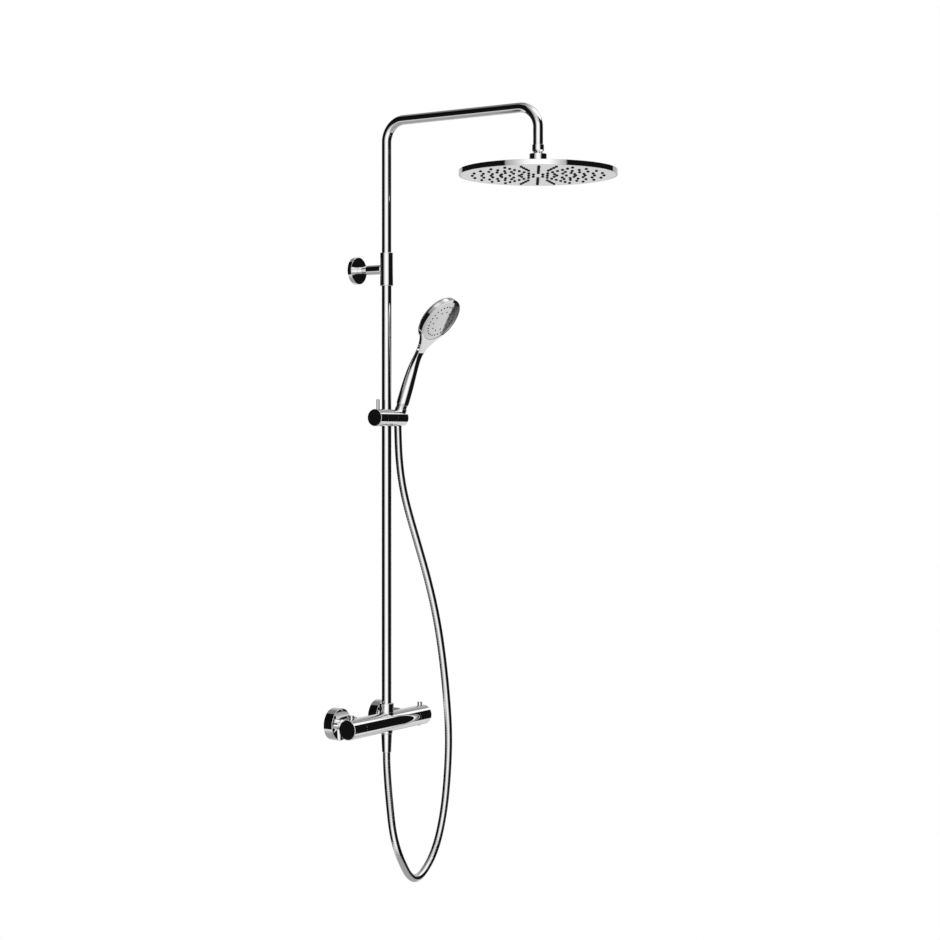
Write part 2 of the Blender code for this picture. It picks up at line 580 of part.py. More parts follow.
def arm():
    start = TUBE_JOINT + GAP / 2
    tube = swept("upper_riser_tube", arm_route(start, ARM_END), COLUMN_RADIUS, CHROME, 6)
    over = 5 * MM
    cut(tube, swept("arm_bore", arm_route(start - over, ARM_END - over), TUBE_BORE, CHROME, 4, True))
    ball = BALL_RADIUS
    neck_height = math.sqrt(ball ** 2 - STEM_NECK_RADIUS ** 2)
    first = math.atan2(STEM_NECK_RADIUS, neck_height)
    last = math.pi - math.asin(STEM_BORE / ball)
    steps = 8
    sphere = [(ball * math.sin(a), BALL_HEIGHT + ball * math.cos(a))
              for a in (first + (last - first) * i / steps for i in range(steps + 1))]
    spigot = TUBE_BORE * 0.96
    turned("ball_stem", [
        (spigot, COLLAR_TOP + 13 * MM), (spigot, COLLAR_TOP), (STEM_COLLAR_RADIUS, COLLAR_TOP),
        (STEM_COLLAR_RADIUS, COLLAR_BOTTOM), (STEM_NECK_RADIUS, COLLAR_BOTTOM - 4.9 * MM), *sphere,
        (STEM_BORE, COLLAR_TOP + 13 * MM)], placed(HEAD, UP), CHROME, ROUND)


SEAT_INNER = BALL_RADIUS + 0.35 * MM
SEAT_OUTER = SEAT_INNER + SEAT_THICKNESS
CUP_RADIUS = SEAT_OUTER + 0.35 * MM
BOSS_RADIUS = CUP_RADIUS + 0.95 * MM


def rain_head():
    frame = placed(HEAD, UP)

    def sphere(radius, first, last, steps):
        return [(radius * math.sin(math.radians(first + (last - first) * i / steps)),
                 BALL_HEIGHT + radius * math.cos(math.radians(first + (last - first) * i / steps)))
                for i in range(steps + 1)]

    turned("ball_seat_ring", [*sphere(SEAT_OUTER, 103, 145, 4), *sphere(SEAT_INNER, 145, 103, 4)],
           frame, WHITE_PLASTIC, ROUND)
    nut_top = BALL_HEIGHT + 11.8 * MM
    nut_bottom = BALL_HEIGHT - 14 * MM
    thread = BOSS_RADIUS + GAP
    lip = BALL_RADIUS - 0.7 * MM
    turned("swivel_nut", [
        (BALL_RADIUS + 1 * MM, nut_top), (SWIVEL_NUT_RADIUS - 1 * MM, nut_top),
        (SWIVEL_NUT_RADIUS, nut_top - 1 * MM), (SWIVEL_NUT_RADIUS, nut_bottom), (thread, nut_bottom),
        (thread, BALL_HEIGHT + 2.2 * MM), (lip, BALL_HEIGHT + 5.2 * MM)], frame)
    top = HEAD_UNDERSIDE + HEAD_RIM
    flange = nut_bottom - GAP
    cup_first = 101
    plate_edge = HEAD_RADIUS - HEAD_SKIN
    turned("head_top_shell", [
        (BOSS_RADIUS, BALL_HEIGHT - 2.5 * MM), (BOSS_RADIUS, flange), (SWIVEL_NUT_RADIUS, flange),
        (SWIVEL_NUT_RADIUS, flange - 1.5 * MM), (HEAD_RADIUS * 0.45, top + 1.6 * MM),
        (HEAD_RADIUS - 1 * MM, top), (HEAD_RADIUS, top - 1 * MM), (HEAD_RADIUS, HEAD_UNDERSIDE + 0.5 * MM),
        (HEAD_RADIUS - 0.5 * MM, HEAD_UNDERSIDE), (plate_edge, HEAD_UNDERSIDE),
        (plate_edge, top - HEAD_SKIN), (HEAD_RADIUS * 0.45, top + 1.6 * MM - HEAD_SKIN),
        (STEM_NECK_RADIUS, flange - 3.5 * MM), (STEM_BORE + 1 * MM, BALL_HEIGHT - CUP_RADIUS),
        *sphere(CUP_RADIUS, 155, cup_first, 4)], frame, CHROME, WIDE)
    plate_top = HEAD_UNDERSIDE + SPRAY_PLATE
    rod("head_spray_plate", plate_edge - RUN, HEAD_UNDERSIDE, plate_top, frame, GREY_PLASTIC, WIDE)
    rod("nozzle_mat", NOZZLE_PITCH * (NOZZLE_RINGS + 0.5), plate_top + GAP, plate_top + GAP + 1.6 * MM,
        frame, SILICONE, ROUND)


def spots_on_ring(count, radius):
    """Evenly spaced places on a circle."""
    return [(radius * math.cos(2 * math.pi * i / count), radius * math.sin(2 * math.pi * i / count))
            for i in range(count)]


def nozzle_cutter(name, radius, low, high, frame, spots):
    """Small prisms at every spot, in one cutter."""
    mesh = bpy.data.meshes.new(name)
    made = bmesh.new()
    for x, y in spots:
        spot = Matrix.Translation((x, y, (low + high) / 2))
        bmesh.ops.create_cone(made, cap_ends=True, segments=NOZZLE_SIDES, radius1=radius,
                              radius2=radius, depth=high - low, matrix=spot)
    made.to_mesh(mesh)
    made.free()
    return add(name, mesh, frame, CHROME, True)


# ---- slider and holder -----------------------------------------------------------------------------
SLIDER = BAR + UP * SLIDER_HEIGHT
BUSH_BORE = COLUMN_RADIUS + GAP
BUSH_RADIUS = BUSH_BORE + SLIDER_BUSH_WALL
HANDSET_AXIS = Vector((0, -math.sin(HANDSET_LEAN), math.cos(HANDSET_LEAN)))
HOLDER_START = SLIDER_BODY_LENGTH / 2 + GAP


def cone_radius(height):
    """The hose nut's outer radius at a height along the handset axis."""
    share = (height - CONE_NUT_BOTTOM) / (CONE_NUT_TOP - CONE_NUT_BOTTOM)
    return CONE_NUT_BOTTOM_RADIUS + share * (CONE_NUT_TOP_RADIUS - CONE_NUT_BOTTOM_RADIUS)


def slider():
    upright = placed(SLIDER, UP)
    along = placed(SLIDER, RIGHT)
    half = SLIDER_BODY_LENGTH / 2
    ring("slider_bush", BUSH_RADIUS, BUSH_BORE, -SLIDER_RADIUS + 1 * MM, SLIDER_RADIUS - 1 * MM, upright,
         WHITE_PLASTIC, ROUND)
    body = rod("slider_body", SLIDER_RADIUS, -half, half, along, CHROME, FINE)
    over = 5 * MM
    cut(body, rod("column_hole", BUSH_RADIUS + GAP, -SLIDER_RADIUS - over, SLIDER_RADIUS + over, upright,
                  CHROME, ROUND, True))
    screw_hole = CLAMP_SCREW_RADIUS + RUN
    cut(body, rod("screw_hole", screw_hole, -half - over, 0, along, CHROME, SMALL, True))
    cut(body, rod("axle_hole", screw_hole, 0, half + over, along, CHROME, SMALL, True))
    tip = BUSH_RADIUS + 2 * GAP
    knob_end = half + GAP + KNOB_LENGTH
    leftward = placed(SLIDER, LEFT)
    screw_end = knob_end - 3.5 * MM
    rod("clamp_screw", CLAMP_SCREW_RADIUS, tip, screw_end, leftward, STEEL)
    bevel = 0.8 * MM
    knob = turned("slider_knob", [
        (0, knob_end), (SLIDER_RADIUS - bevel, knob_end), (SLIDER_RADIUS, knob_end - bevel),
        (SLIDER_RADIUS, half + GAP), (screw_hole, half + GAP), (screw_hole, screw_end + GAP),
        (0, screw_end + GAP)], leftward, CHROME, FINE)
    lever = placed(SLIDER + LEFT * (half + GAP + KNOB_LENGTH / 2), UP)
    socket = CLAMP_SCREW_RADIUS + RUN + 1.2 * MM
    cut(knob, rod("lever_hole", KNOB_LEVER_RADIUS + GAP, socket - GAP, SLIDER_RADIUS + over, lever, CHROME,
                  SMALL, True))
    turned("knob_lever", [
        (0, KNOB_LEVER_REACH), (KNOB_LEVER_RADIUS - 1 * MM, KNOB_LEVER_REACH),
        (KNOB_LEVER_RADIUS, KNOB_LEVER_REACH - 1 * MM), (KNOB_LEVER_RADIUS, socket), (0, socket)], lever)
    holder_end = HOLDER_START + HOLDER_LENGTH
    cup_edge = HOLDER_CUP_X - cone_radius(0) - GAP
    axle_end = cup_edge - 4 * MM
    rod("holder_axle", CLAMP_SCREW_RADIUS, tip, axle_end, along, STEEL)
    holder = rod("hose_holder", SLIDER_RADIUS, HOLDER_START, holder_end, along, CHROME, FINE)
    seat = SLIDER + RIGHT * HOLDER_CUP_X
    tilted = placed(seat, HANDSET_AXIS)
    collar_top = SLIDER_RADIUS + 4.5 * MM
    collar_radius = cone_radius(collar_top) + GAP + 0.9 * MM
    collar_low = math.sqrt(SLIDER_RADIUS ** 2 - collar_radius ** 2) - 1 * MM
    fuse(holder, rod("cup_collar", collar_radius, collar_low, collar_top, tilted, CHROME, ROUND, True))
    cut(holder, rod("holder_axle_hole", screw_hole, HOLDER_START - over, axle_end + GAP, along, CHROME,
                    SMALL, True))
    cone_low = CONE_NUT_BOTTOM - GAP
    hose_room = HOSE_RADIUS + 1.6 * MM
    cut(holder, turned("cup_bore", [
        (0, collar_top + over), (cone_radius(collar_top + over) + GAP, collar_top + over),
        (cone_radius(cone_low) + GAP, cone_low), (hose_room, cone_low - 1 * MM), (hose_room, -4 * MM),
        (0, -4 * MM)], tilted, CHROME, ROUND, True))
    upright_cup = placed(seat, UP)
    cut(holder, rod("hose_bore", hose_room, -SLIDER_RADIUS - over, 0, upright_cup, CHROME, ROUND, True),
        "MANIFOLD")
    slot = HOSE_RADIUS + 0.9 * MM
    reach = holder_end - HOLDER_CUP_X + over
    cut(holder, block("hose_slot", (0, -slot, -SLIDER_RADIUS - over), (reach, slot, 1 * MM),
                      Matrix.Translation(seat)), "MANIFOLD")
    leaned = Matrix.Translation(seat) @ Matrix.Rotation(HANDSET_LEAN, 4, "X")
    cut(holder, block("cup_slot", (0, -slot, -1 * MM), (reach, slot, collar_top + over), leaned),
        "MANIFOLD")


# ---- hand shower and hose --------------------------------------------------------------------------
HOSE_NUT_START = BAR_RADIUS + 3.2 * MM
SEAT = SLIDER + RIGHT * HOLDER_CUP_X
HANDSET_FRONT = Vector((0, -math.cos(HANDSET_LEAN), -math.sin(HANDSET_LEAN)))
HANDSET_FOOT = SEAT + HANDSET_AXIS * (CONE_NUT_TOP + GAP)
FACE_CENTRE = HANDSET_FOOT + HANDSET_AXIS * HANDSET_REACH + HANDSET_FRONT * HANDSET_FORWARD
FACE_NORMAL = Vector((0, -math.cos(HANDSET_FACE_LEAN), -math.sin(HANDSET_FACE_LEAN)))
FACE_UP = Vector((0, -math.sin(HANDSET_FACE_LEAN), math.cos(HANDSET_FACE_LEAN)))


def handle_spine():
    """Centres and radii of the hand shower's grip, from its foot to inside the head."""
    neck = FACE_CENTRE - FACE_UP * (HANDSET_HEAD_RADIUS + 14 * MM) - FACE_NORMAL * 8 * MM
    inside = FACE_CENTRE - FACE_UP * (HANDSET_HEAD_RADIUS - 16 * MM) - FACE_NORMAL * 11 * MM
    rise = (neck - HANDSET_FOOT).length
    leave = HANDSET_AXIS * rise * 0.45
    arrive = FACE_UP * rise * 0.28
    bezier = [HANDSET_FOOT, HANDSET_FOOT + leave, neck - arrive, neck]
    count = 10
    centres, radii = [], []
    for i in range(count + 1):
        t = i / count
        weights = ((1 - t) ** 3, 3 * t * (1 - t) ** 2, 3 * t * t * (1 - t), t ** 3)
        centres.append(sum((w * p for w, p in zip(weights, bezier)), Vector()))
        swell = 1.2 * MM * math.sin(math.pi * min(1, t / 0.62))
        radii.append(10.9 * MM + swell - 3.6 * MM * max(0, (t - 0.45) / 0.55) ** 1.2)
    centres.append(inside)
    radii.append(radii[-1] + 1.2 * MM)
    return centres, radii


def hand_shower():
    centres, radii = handle_spine()
    grip = max(radii)
    face = placed(FACE_CENTRE, FACE_NORMAL)
    pocket = HANDSET_POCKET_DEPTH
    pocket_radius = HANDSET_FACE_RADIUS + RUN
    dome = [(HANDSET_HEAD_RADIUS * math.cos(a), -7 * MM - (HANDSET_HEAD_DEPTH - 7 * MM) * math.sin(a))
            for a in (math.pi / 2 * i / 6 for i in range(6))]
    body = turned("handset_body", [
        (0, 0), (HANDSET_HEAD_RADIUS - 1.5 * MM, 0), (HANDSET_HEAD_RADIUS, -1.5 * MM), *dome,
        (0, -HANDSET_HEAD_DEPTH)], face, CHROME, FINE)
    fuse(body, swept("grip", centres, grip, CHROME, 4, True, [r / grip for r in radii]))
    cut(body, rod("face_pocket", pocket_radius, -pocket, 5 * MM, face, CHROME, FINE, True))
    foot = placed(SEAT, HANDSET_AXIS)
    tail = CONE_NUT_SEAT + GAP + WASHER_THICKNESS + GAP
    fuse(body, rod("tail", HANDSET_TAIL_RADIUS, tail, CONE_NUT_TOP + 4 * MM, foot, CHROME, SMALL, True))
    # the waterway ends in the pocket under the face
    pocket_point = FACE_CENTRE - FACE_UP * (HANDSET_FACE_RADIUS - 9 * MM) - FACE_NORMAL * (pocket - 2 * MM)
    bore = [SEAT + HANDSET_AXIS * (tail - 5 * MM), *centres[:-1], pocket_point]
    cut(body, swept("handset_bore", bore, HANDSET_BORE, CHROME, 2, True), "MANIFOLD")
    ring("hose_upper_washer", HANDSET_TAIL_RADIUS, HANDSET_BORE, CONE_NUT_SEAT + GAP,
         CONE_NUT_SEAT + GAP + WASHER_THICKNESS, foot, RUBBER)
    inner = HANDSET_TAIL_RADIUS + GAP
    turned("hose_upper_nut", [
        (CONE_NUT_TOP_RADIUS, CONE_NUT_TOP), (CONE_NUT_BOTTOM_RADIUS, CONE_NUT_BOTTOM),
        (HANDSET_BORE, CONE_NUT_BOTTOM), (HANDSET_BORE, CONE_NUT_SEAT), (inner, CONE_NUT_SEAT),
        (inner, CONE_NUT_TOP)], foot, CHROME, ROUND)
    disc_low = -pocket + GAP
    disc_top = disc_low + 2.2 * MM
    rod("handset_valve_disc", HANDSET_FACE_RADIUS - 4 * MM, disc_low, disc_top, face, WHITE_PLASTIC, ROUND)
    cut(bpy.data.objects["handset_valve_disc"], nozzle_cutter(
        "valve_disc_ports", 5 * MM, disc_low - 2 * MM, disc_top + 2 * MM, face,
        spots_on_ring(3, 24 * MM)))
    rim, edge = 0.3 * MM, HANDSET_FACE_RADIUS
    plate = turned("handset_spray_face", [
        (0, 0.8 * MM), (edge * 0.88, 0.8 * MM), (edge, rim), (edge, disc_top + 1 * MM), (0, disc_top + 1 * MM)],
        face, GREY_PLASTIC, FINE)
    tab = Matrix.Rotation(math.radians(-42), 4, "Z")
    fuse(plate, block("selector_tab", (edge - 3 * MM, -4 * MM, GAP), (HANDSET_HEAD_RADIUS + 0.8 * MM, 4 * MM,
                      1.8 * MM), face @ tab))
    outer_ring = spots_on_ring(20, edge * 0.83)
    inner_ring = spots_on_ring(10, edge * 0.56)
    cut(plate, nozzle_cutter("face_nozzle_holes", 1.1 * MM, disc_top - 2 * MM, 3 * MM, face,
                             outer_ring + inner_ring))


def hose():
    """The lower nut and washer, then the hose's route from the valve to the hand shower."""
    frame = placed(BAR, DOWN)
    start = HOSE_NUT_START
    end = start + HOSE_NUT_LENGTH
    thread = OUTLET_RADIUS + GAP
    washer = OUTLET_LENGTH + GAP
    seat = washer + WASHER_THICKNESS + GAP
    hose_hole = HOSE_RADIUS + GAP
    turned("hose_lower_nut", [
        (8.95 * MM, end), (10.6 * MM, start), (thread, start), (thread, seat), (hose_hole, seat),
        (hose_hole, end)], frame, CHROME, ROUND)
    ring("hose_lower_washer", OUTLET_RADIUS, WATERWAY, washer, washer + WASHER_THICKNESS, frame, RUBBER)
    hose_end = CONE_NUT_BOTTOM - 1 * MM
    route = [BAR + DOWN * (seat + GAP), BAR + DOWN * (end + 5 * MM),
             *[Vector(point) * MM for point in HOSE_ROUTE],
             *[SEAT + HANDSET_AXIS * (hose_end - back) for back in (9 * MM, 3 * MM, 0)]]
    swept("shower_hose", smooth_route(route, 2), HOSE_RADIUS, STEEL, 2)


# where the hose hangs, in millimetres, from the valve round its loop and up to the holder
HOSE_ROUTE = [
    (-1, -77, -85), (-8, -85, -125), (-17, -96, -165), (-24, -106, -203), (-24, -113, -231),
    (-16, -117, -257), (-1, -118, -281), (17, -117, -302), (40, -116, -315), (65, -115, -311),
    (90, -113, -298), (113, -112, -279), (133, -113, -246), (142, -120, -190), (142, -128, -118),
    (138, -134, -39), (129, -134, 41), (119, -131, 120), (107, -125, 199), (92, -114, 277),
    (74, -100, 353), (58, -87, 421), (49, -80, 469), (42, -77, 520), (41, -75, 575),
]

valve_body()
inlet("cold", RIGHT)
inlet("hot", LEFT)
temperature_side()
flow_side()
riser()
wall_bracket()
arm()
rain_head()
slider()
hand_shower()
hose()

for solid in parts.objects:
    if any(step.type == "BOOLEAN" for step in solid.modifiers):
        solid.modifiers.new("weld", "WELD").merge_threshold = WELD
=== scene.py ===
"""The look of a rainfall shower column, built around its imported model. Metres, +Z up, +Y into the wall."""
import math

import bmesh
import bpy
from mathutils import Matrix, Vector


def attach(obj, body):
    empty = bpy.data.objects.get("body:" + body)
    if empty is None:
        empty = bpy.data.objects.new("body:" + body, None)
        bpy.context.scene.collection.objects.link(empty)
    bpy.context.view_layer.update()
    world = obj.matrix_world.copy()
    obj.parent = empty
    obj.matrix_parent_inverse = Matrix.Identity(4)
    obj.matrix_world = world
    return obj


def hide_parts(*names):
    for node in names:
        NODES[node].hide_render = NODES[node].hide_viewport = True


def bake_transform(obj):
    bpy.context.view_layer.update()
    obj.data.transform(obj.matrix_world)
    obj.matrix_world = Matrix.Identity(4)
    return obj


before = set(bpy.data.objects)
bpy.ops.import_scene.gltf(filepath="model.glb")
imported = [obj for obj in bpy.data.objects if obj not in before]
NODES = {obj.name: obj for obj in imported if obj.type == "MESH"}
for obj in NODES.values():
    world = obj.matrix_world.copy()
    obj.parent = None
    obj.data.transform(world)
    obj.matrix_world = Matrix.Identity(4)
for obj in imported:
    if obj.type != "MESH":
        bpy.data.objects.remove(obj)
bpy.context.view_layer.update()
MM = 0.001

# ---- sizes, as in the CAD --------------------------------------------------------------------------
GAP = 0.3 * MM
BAR = Vector((0, -76, 0)) * MM
BAR_RADIUS = 19.5 * MM
BODY_HALF = 93.35 * MM
BAR_END = 133 * MM
INLET_X = 75 * MM
COLUMN_OFFSET = 76 * MM
COLUMN_RADIUS = 9.5 * MM
TUBE_BORE = 8 * MM
TUBE_JOINT = 897 * MM
ARM_HEIGHT = 1191 * MM
BEND_RADIUS = 41 * MM
BRACKET_HEIGHT = 898 * MM
HEAD = Vector((0, -424, 0)) * MM
HEAD_RADIUS = 150 * MM
HEAD_UNDERSIDE = 1058.8 * MM
HEAD_TOP = HEAD_UNDERSIDE + 9 * MM
BALL_HEIGHT = 1088 * MM
SLIDER = Vector((0, -76, 603.5)) * MM
SLIDER_RADIUS = 17 * MM
CUP_X = 41 * MM
LEAN = math.radians(19.6)
FACE_LEAN = math.radians(38)
HOSE_RADIUS = 7.45 * MM
WATERWAY = 5.5 * MM
EDGE = 0.08 * MM
TUBE_FIT = 9.8 * MM
TUBE_GAP = 0.15 * MM
SOCKET_BORE = 12.3 * MM
COLLAR_RADIUS = 14.2 * MM
FLANGE_RADIUS = 16.6 * MM
NECK_RADIUS = 7.45 * MM
SCREW_ROOM = 5.3 * MM
CUT_PAST = 25 * MM

RIGHT, UP, WALL = Vector((1, 0, 0)), Vector((0, 0, 1)), Vector((0, 1, 0))
LEFT, DOWN, ROOM = -RIGHT, -UP, -WALL
SEAT = SLIDER + RIGHT * CUP_X
HANDSET_AXIS = Vector((0, -math.sin(LEAN), math.cos(LEAN)))
HANDSET_FRONT = Vector((0, -math.cos(LEAN), -math.sin(LEAN)))
HANDSET_FOOT = SEAT + HANDSET_AXIS * 29 * MM
FACE_CENTRE = HANDSET_FOOT + HANDSET_AXIS * 186.3 * MM + HANDSET_FRONT * 27 * MM
FACE_NORMAL = Vector((0, -math.cos(FACE_LEAN), -math.sin(FACE_LEAN)))
FACE_UP = Vector((0, -math.sin(FACE_LEAN), math.cos(FACE_LEAN)))

STEPS = 96
FINE = 144
HEAD_STEPS = 192
SHARP = math.radians(24)
ON_SKIN = 0.05 * MM
ALIGNED = 0.985


# ---- materials -------------------------------------------------------------------------------------
NOISE_LOW, NOISE_HIGH = 0.35, 0.7
TINT_SCALE = 0.4
BUMP_DEPTH = 0.1 * MM


def material(name, colour, metallic, rough, rough_spread=0.0, noise_scale=200.0, bump=0.0,
             bump_scale=400.0, colour_spread=0.0, specular=0.5):
    """A principled material whose roughness, colour and surface vary a little with the place."""
    mat = bpy.data.materials.new(name)
    mat.use_nodes = True
    nodes, links = mat.node_tree.nodes, mat.node_tree.links
    shader = nodes["Principled BSDF"]
    shader.inputs["Metallic"].default_value = metallic
    shader.inputs["Base Color"].default_value = (*colour, 1)
    shader.inputs["Roughness"].default_value = rough
    shader.inputs["Specular IOR Level"].default_value = specular
    place = nodes.new("ShaderNodeTexCoord")

    def noise(scale, detail):
        node = nodes.new("ShaderNodeTexNoise")
        node.inputs["Scale"].default_value = scale
        node.inputs["Detail"].default_value = detail
        links.new(place.outputs["Object"], node.inputs["Vector"])
        return node.outputs["Fac"]

    if rough_spread:
        ramp = nodes.new("ShaderNodeMapRange")
        ramp.inputs["From Min"].default_value = NOISE_LOW
        ramp.inputs["From Max"].default_value = NOISE_HIGH
        ramp.inputs["To Min"].default_value = rough
        ramp.inputs["To Max"].default_value = rough + rough_spread
        links.new(noise(noise_scale, 4.0), ramp.inputs["Value"])
        links.new(ramp.outputs["Result"], shader.inputs["Roughness"])
    if colour_spread:
        ramp = nodes.new("ShaderNodeValToRGB")
        low = [max(0.0, c * (1 - colour_spread)) for c in colour]
        high = [min(1.0, c * (1 + colour_spread)) for c in colour]
        for element, position, shown in zip(ramp.color_ramp.elements, (0.3, 0.7), (low, high)):
            element.position, element.color = position, (*shown, 1)
        links.new(noise(noise_scale * TINT_SCALE, 5.0), ramp.inputs["Fac"])
        links.new(ramp.outputs["Color"], shader.inputs["Base Color"])
    if bump:
        lift = nodes.new("ShaderNodeBump")
        lift.inputs["Strength"].default_value = bump
        lift.inputs["Distance"].default_value = BUMP_DEPTH
        links.new(noise(bump_scale, 3.0), lift.inputs["Height"])
        links.new(lift.outputs["Normal"], shader.inputs["Normal"])
    return mat


CHROME = material("polished_chrome", (0.955, 0.958, 0.962), 1.0, 0.008, 0.018, 40.0, 0.0, colour_spread=0.008)
HOSE_CHROME = material("hose_cover", (0.90, 0.905, 0.91), 1.0, 0.02, 0.03, 300.0, 0.0, 900.0, 0.02)
BRASS = material("machined_brass", (0.72, 0.53, 0.25), 1.0, 0.28, 0.12, 500.0, 0.08, 1500.0, 0.06)
STEEL = material("stainless_steel", (0.60, 0.60, 0.61), 1.0, 0.25, 0.12, 600.0, 0.06, 1500.0, 0.05)
RUBBER = material("black_rubber", (0.022, 0.022, 0.023), 0.0, 0.62, 0.15, 900.0, 0.15, 2500.0, 0.2)
WHITE_PLASTIC = material("white_acetal", (0.80, 0.80, 0.78), 0.0, 0.36, 0.1, 700.0, 0.05, 2500.0, 0.03)
CERAMIC = material("lapped_ceramic", (0.80, 0.78, 0.72), 0.0, 0.18, 0.08, 700.0, 0.03, 2500.0, 0.03)
COPPER = material("copper_capsule", (0.78, 0.40, 0.24), 1.0, 0.28, 0.15, 600.0, 0.06, 1500.0, 0.08)
SPRAY_PLATE = material("spray_plate", (0.93, 0.932, 0.935), 0.92, 0.05, 0.03, 120.0, 0.0, 1800.0, 0.01)
FACE_PLASTIC = material("face_plastic", (0.92, 0.922, 0.925), 0.8, 0.025, 0.02, 150.0, 0.0, 1800.0, 0.01)
NOZZLE = material("nozzle_silicone", (0.014, 0.014, 0.015), 0.0, 0.6, 0.15, 1200.0, 0.1, 3000.0, 0.2,
                   specular=0.2)

CAD_LOOKS = {
    "cold_inlet_connector": CHROME, "hot_inlet_connector": CHROME, "thermostat_retaining_nut": BRASS,
    "diverter_retaining_nut": BRASS, "thermostat_spindle": BRASS, "tube_spigot": BRASS,
    "wax_element": COPPER, "temperature_grub_screw": STEEL, "bracket_grub_screw": STEEL, "wall_plate": STEEL,
    "upper_wall_screw": STEEL, "lower_wall_screw": STEEL, "clamp_screw": STEEL, "holder_axle": STEEL,
    "hot_filter_washer": RUBBER, "cold_filter_washer": RUBBER, "riser_seal": RUBBER,
    "upper_spigot_oring": RUBBER, "lower_spigot_oring": RUBBER, "hose_upper_washer": RUBBER,
    "hose_lower_washer": RUBBER, "thermostat_cartridge": WHITE_PLASTIC, "diverter_cartridge": WHITE_PLASTIC,
    "ball_seat_ring": WHITE_PLASTIC, "handset_valve_disc": WHITE_PLASTIC,
    "diverter_fixed_disc": CERAMIC, "diverter_spindle": CERAMIC, "nozzle_mat": NOZZLE,
}


# ---- mesh helpers ----------------------------------------------------------------------------------
def placed(point, along):
    """A frame at point whose +Z is along."""
    turn = Vector((0, 0, 1)).rotation_difference(along.normalized()).to_matrix().to_4x4()
    return Matrix.Translation(point) @ turn


def shade_by_angle(made):
    for face in made.faces:
        face.smooth = True
    for edge in made.edges:
        edge.smooth = not (len(edge.link_faces) == 2 and edge.calc_face_angle(0) > SHARP)


def finish_mesh(made, name, look, place=Matrix.Identity(4), weigh=True):
    """Turns a bmesh into an object with smooth shading and sharp edges."""
    made.transform(place)
    bmesh.ops.recalc_face_normals(made, faces=made.faces[:])
    shade_by_angle(made)
    mesh = bpy.data.meshes.new(name)
    made.to_mesh(mesh)
    made.free()
    mesh.materials.append(look)
    obj = bpy.data.objects.new(name, mesh)
    bpy.context.scene.collection.objects.link(obj)
    if weigh:
        weigh_normals(obj)
    return obj


def weigh_normals(obj):
    """Large faces keep their own direction, so a small fillet doesn't bend the reflections beside it."""
    step = obj.modifiers.new("normals", "WEIGHTED_NORMAL")
    step.mode, step.weight, step.keep_sharp = "FACE_AREA", 80, True
    bpy.context.view_layer.update()
    mesh = bpy.data.meshes.new_from_object(obj.evaluated_get(bpy.context.evaluated_depsgraph_get()))
    obj.modifiers.clear()
    old, obj.data = obj.data, mesh
    bpy.data.meshes.remove(old)


def rounded(profile, steps=4):
    """(r, z) or (r, z, fillet) corners, as points with every fillet drawn as an arc."""
    count, points = len(profile), []
    for i, corner in enumerate(profile):
        here = Vector(corner[:2])
        radius = corner[2] if len(corner) > 2 else 0
        if not radius:
            points.append(here)
            continue
        to_last = Vector(profile[i - 1][:2]) - here
        to_next = Vector(profile[(i + 1) % count][:2]) - here
        half = to_last.angle(to_next) / 2
        reach = min(radius / math.tan(half), 0.49 * to_last.length, 0.49 * to_next.length)
        radius = reach * math.tan(half)
        centre = here + (to_last.normalized() + to_next.normalized()).normalized() * radius / math.sin(half)
        first = here + to_last.normalized() * reach - centre
        last = here + to_next.normalized() * reach - centre
        sweep = first.angle_signed(last)
        for k in range(steps + 1):
            turn = -sweep * k / steps
            points.append(centre + Vector((first.x * math.cos(turn) - first.y * math.sin(turn),
                                           first.x * math.sin(turn) + first.y * math.cos(turn))))
    return points


def turns_of(steps):
    return (2 * math.pi * k / steps for k in range(steps))


def ring_of(made, place, radius, height, steps):
    return [made.verts.new(place @ Vector((radius * math.cos(a), radius * math.sin(a), height)))
            for a in turns_of(steps)]


def band(made, one, two):
    """Joins two rings of points with a closed band of faces."""
    for k in range(len(one)):
        n = (k + 1) % len(one)
        made.faces.new((one[k], one[n], two[n], two[k]))


def lathe_into(made, profile, place=Matrix.Identity(4), steps=STEPS, fillet_steps=4):
    """Adds the solid that a profile sweeps about its frame's Z axis; it closes on itself or on the axis."""
    points = rounded(profile, fillet_steps)
    rings = []
    for point in points:
        if abs(point.x) < 1e-7:
            rings.append([made.verts.new(place @ Vector((0, 0, point.y)))])
        else:
            rings.append(ring_of(made, place, point.x, point.y, steps))
    pairs = list(zip(rings, rings[1:]))
    if len(rings[0]) > 1 and len(rings[-1]) > 1:
        pairs.append((rings[-1], rings[0]))
    for one, two in pairs:
        for k in range(steps):
            n = (k + 1) % steps
            if len(one) == 1 and len(two) == 1:
                continue
            if len(one) == 1:
                made.faces.new((one[0], two[k], two[n]))
            elif len(two) == 1:
                made.faces.new((one[k], two[0], one[n]))
            else:
                made.faces.new((one[k], two[k], two[n], one[n]))


def lathe(name, look, profile, place, steps=STEPS, fillet_steps=4):
    made = bmesh.new()
    lathe_into(made, profile, place, steps, fillet_steps)
    return finish_mesh(made, name, look)


def frames_along(points):
    """A frame at every point of a path, turned as little as possible."""
    count = len(points)
    tangents = [(points[min(i + 1, count - 1)] - points[max(i - 1, 0)]).normalized() for i in range(count)]
    side = tangents[0].orthogonal().normalized()
    found = []
    for i, tangent in enumerate(tangents):
        if i:
            side = tangents[i - 1].rotation_difference(tangent) @ side
        side = (side - tangent * side.dot(tangent)).normalized()
        found.append((points[i], side, tangent.cross(side), tangent))
    return found


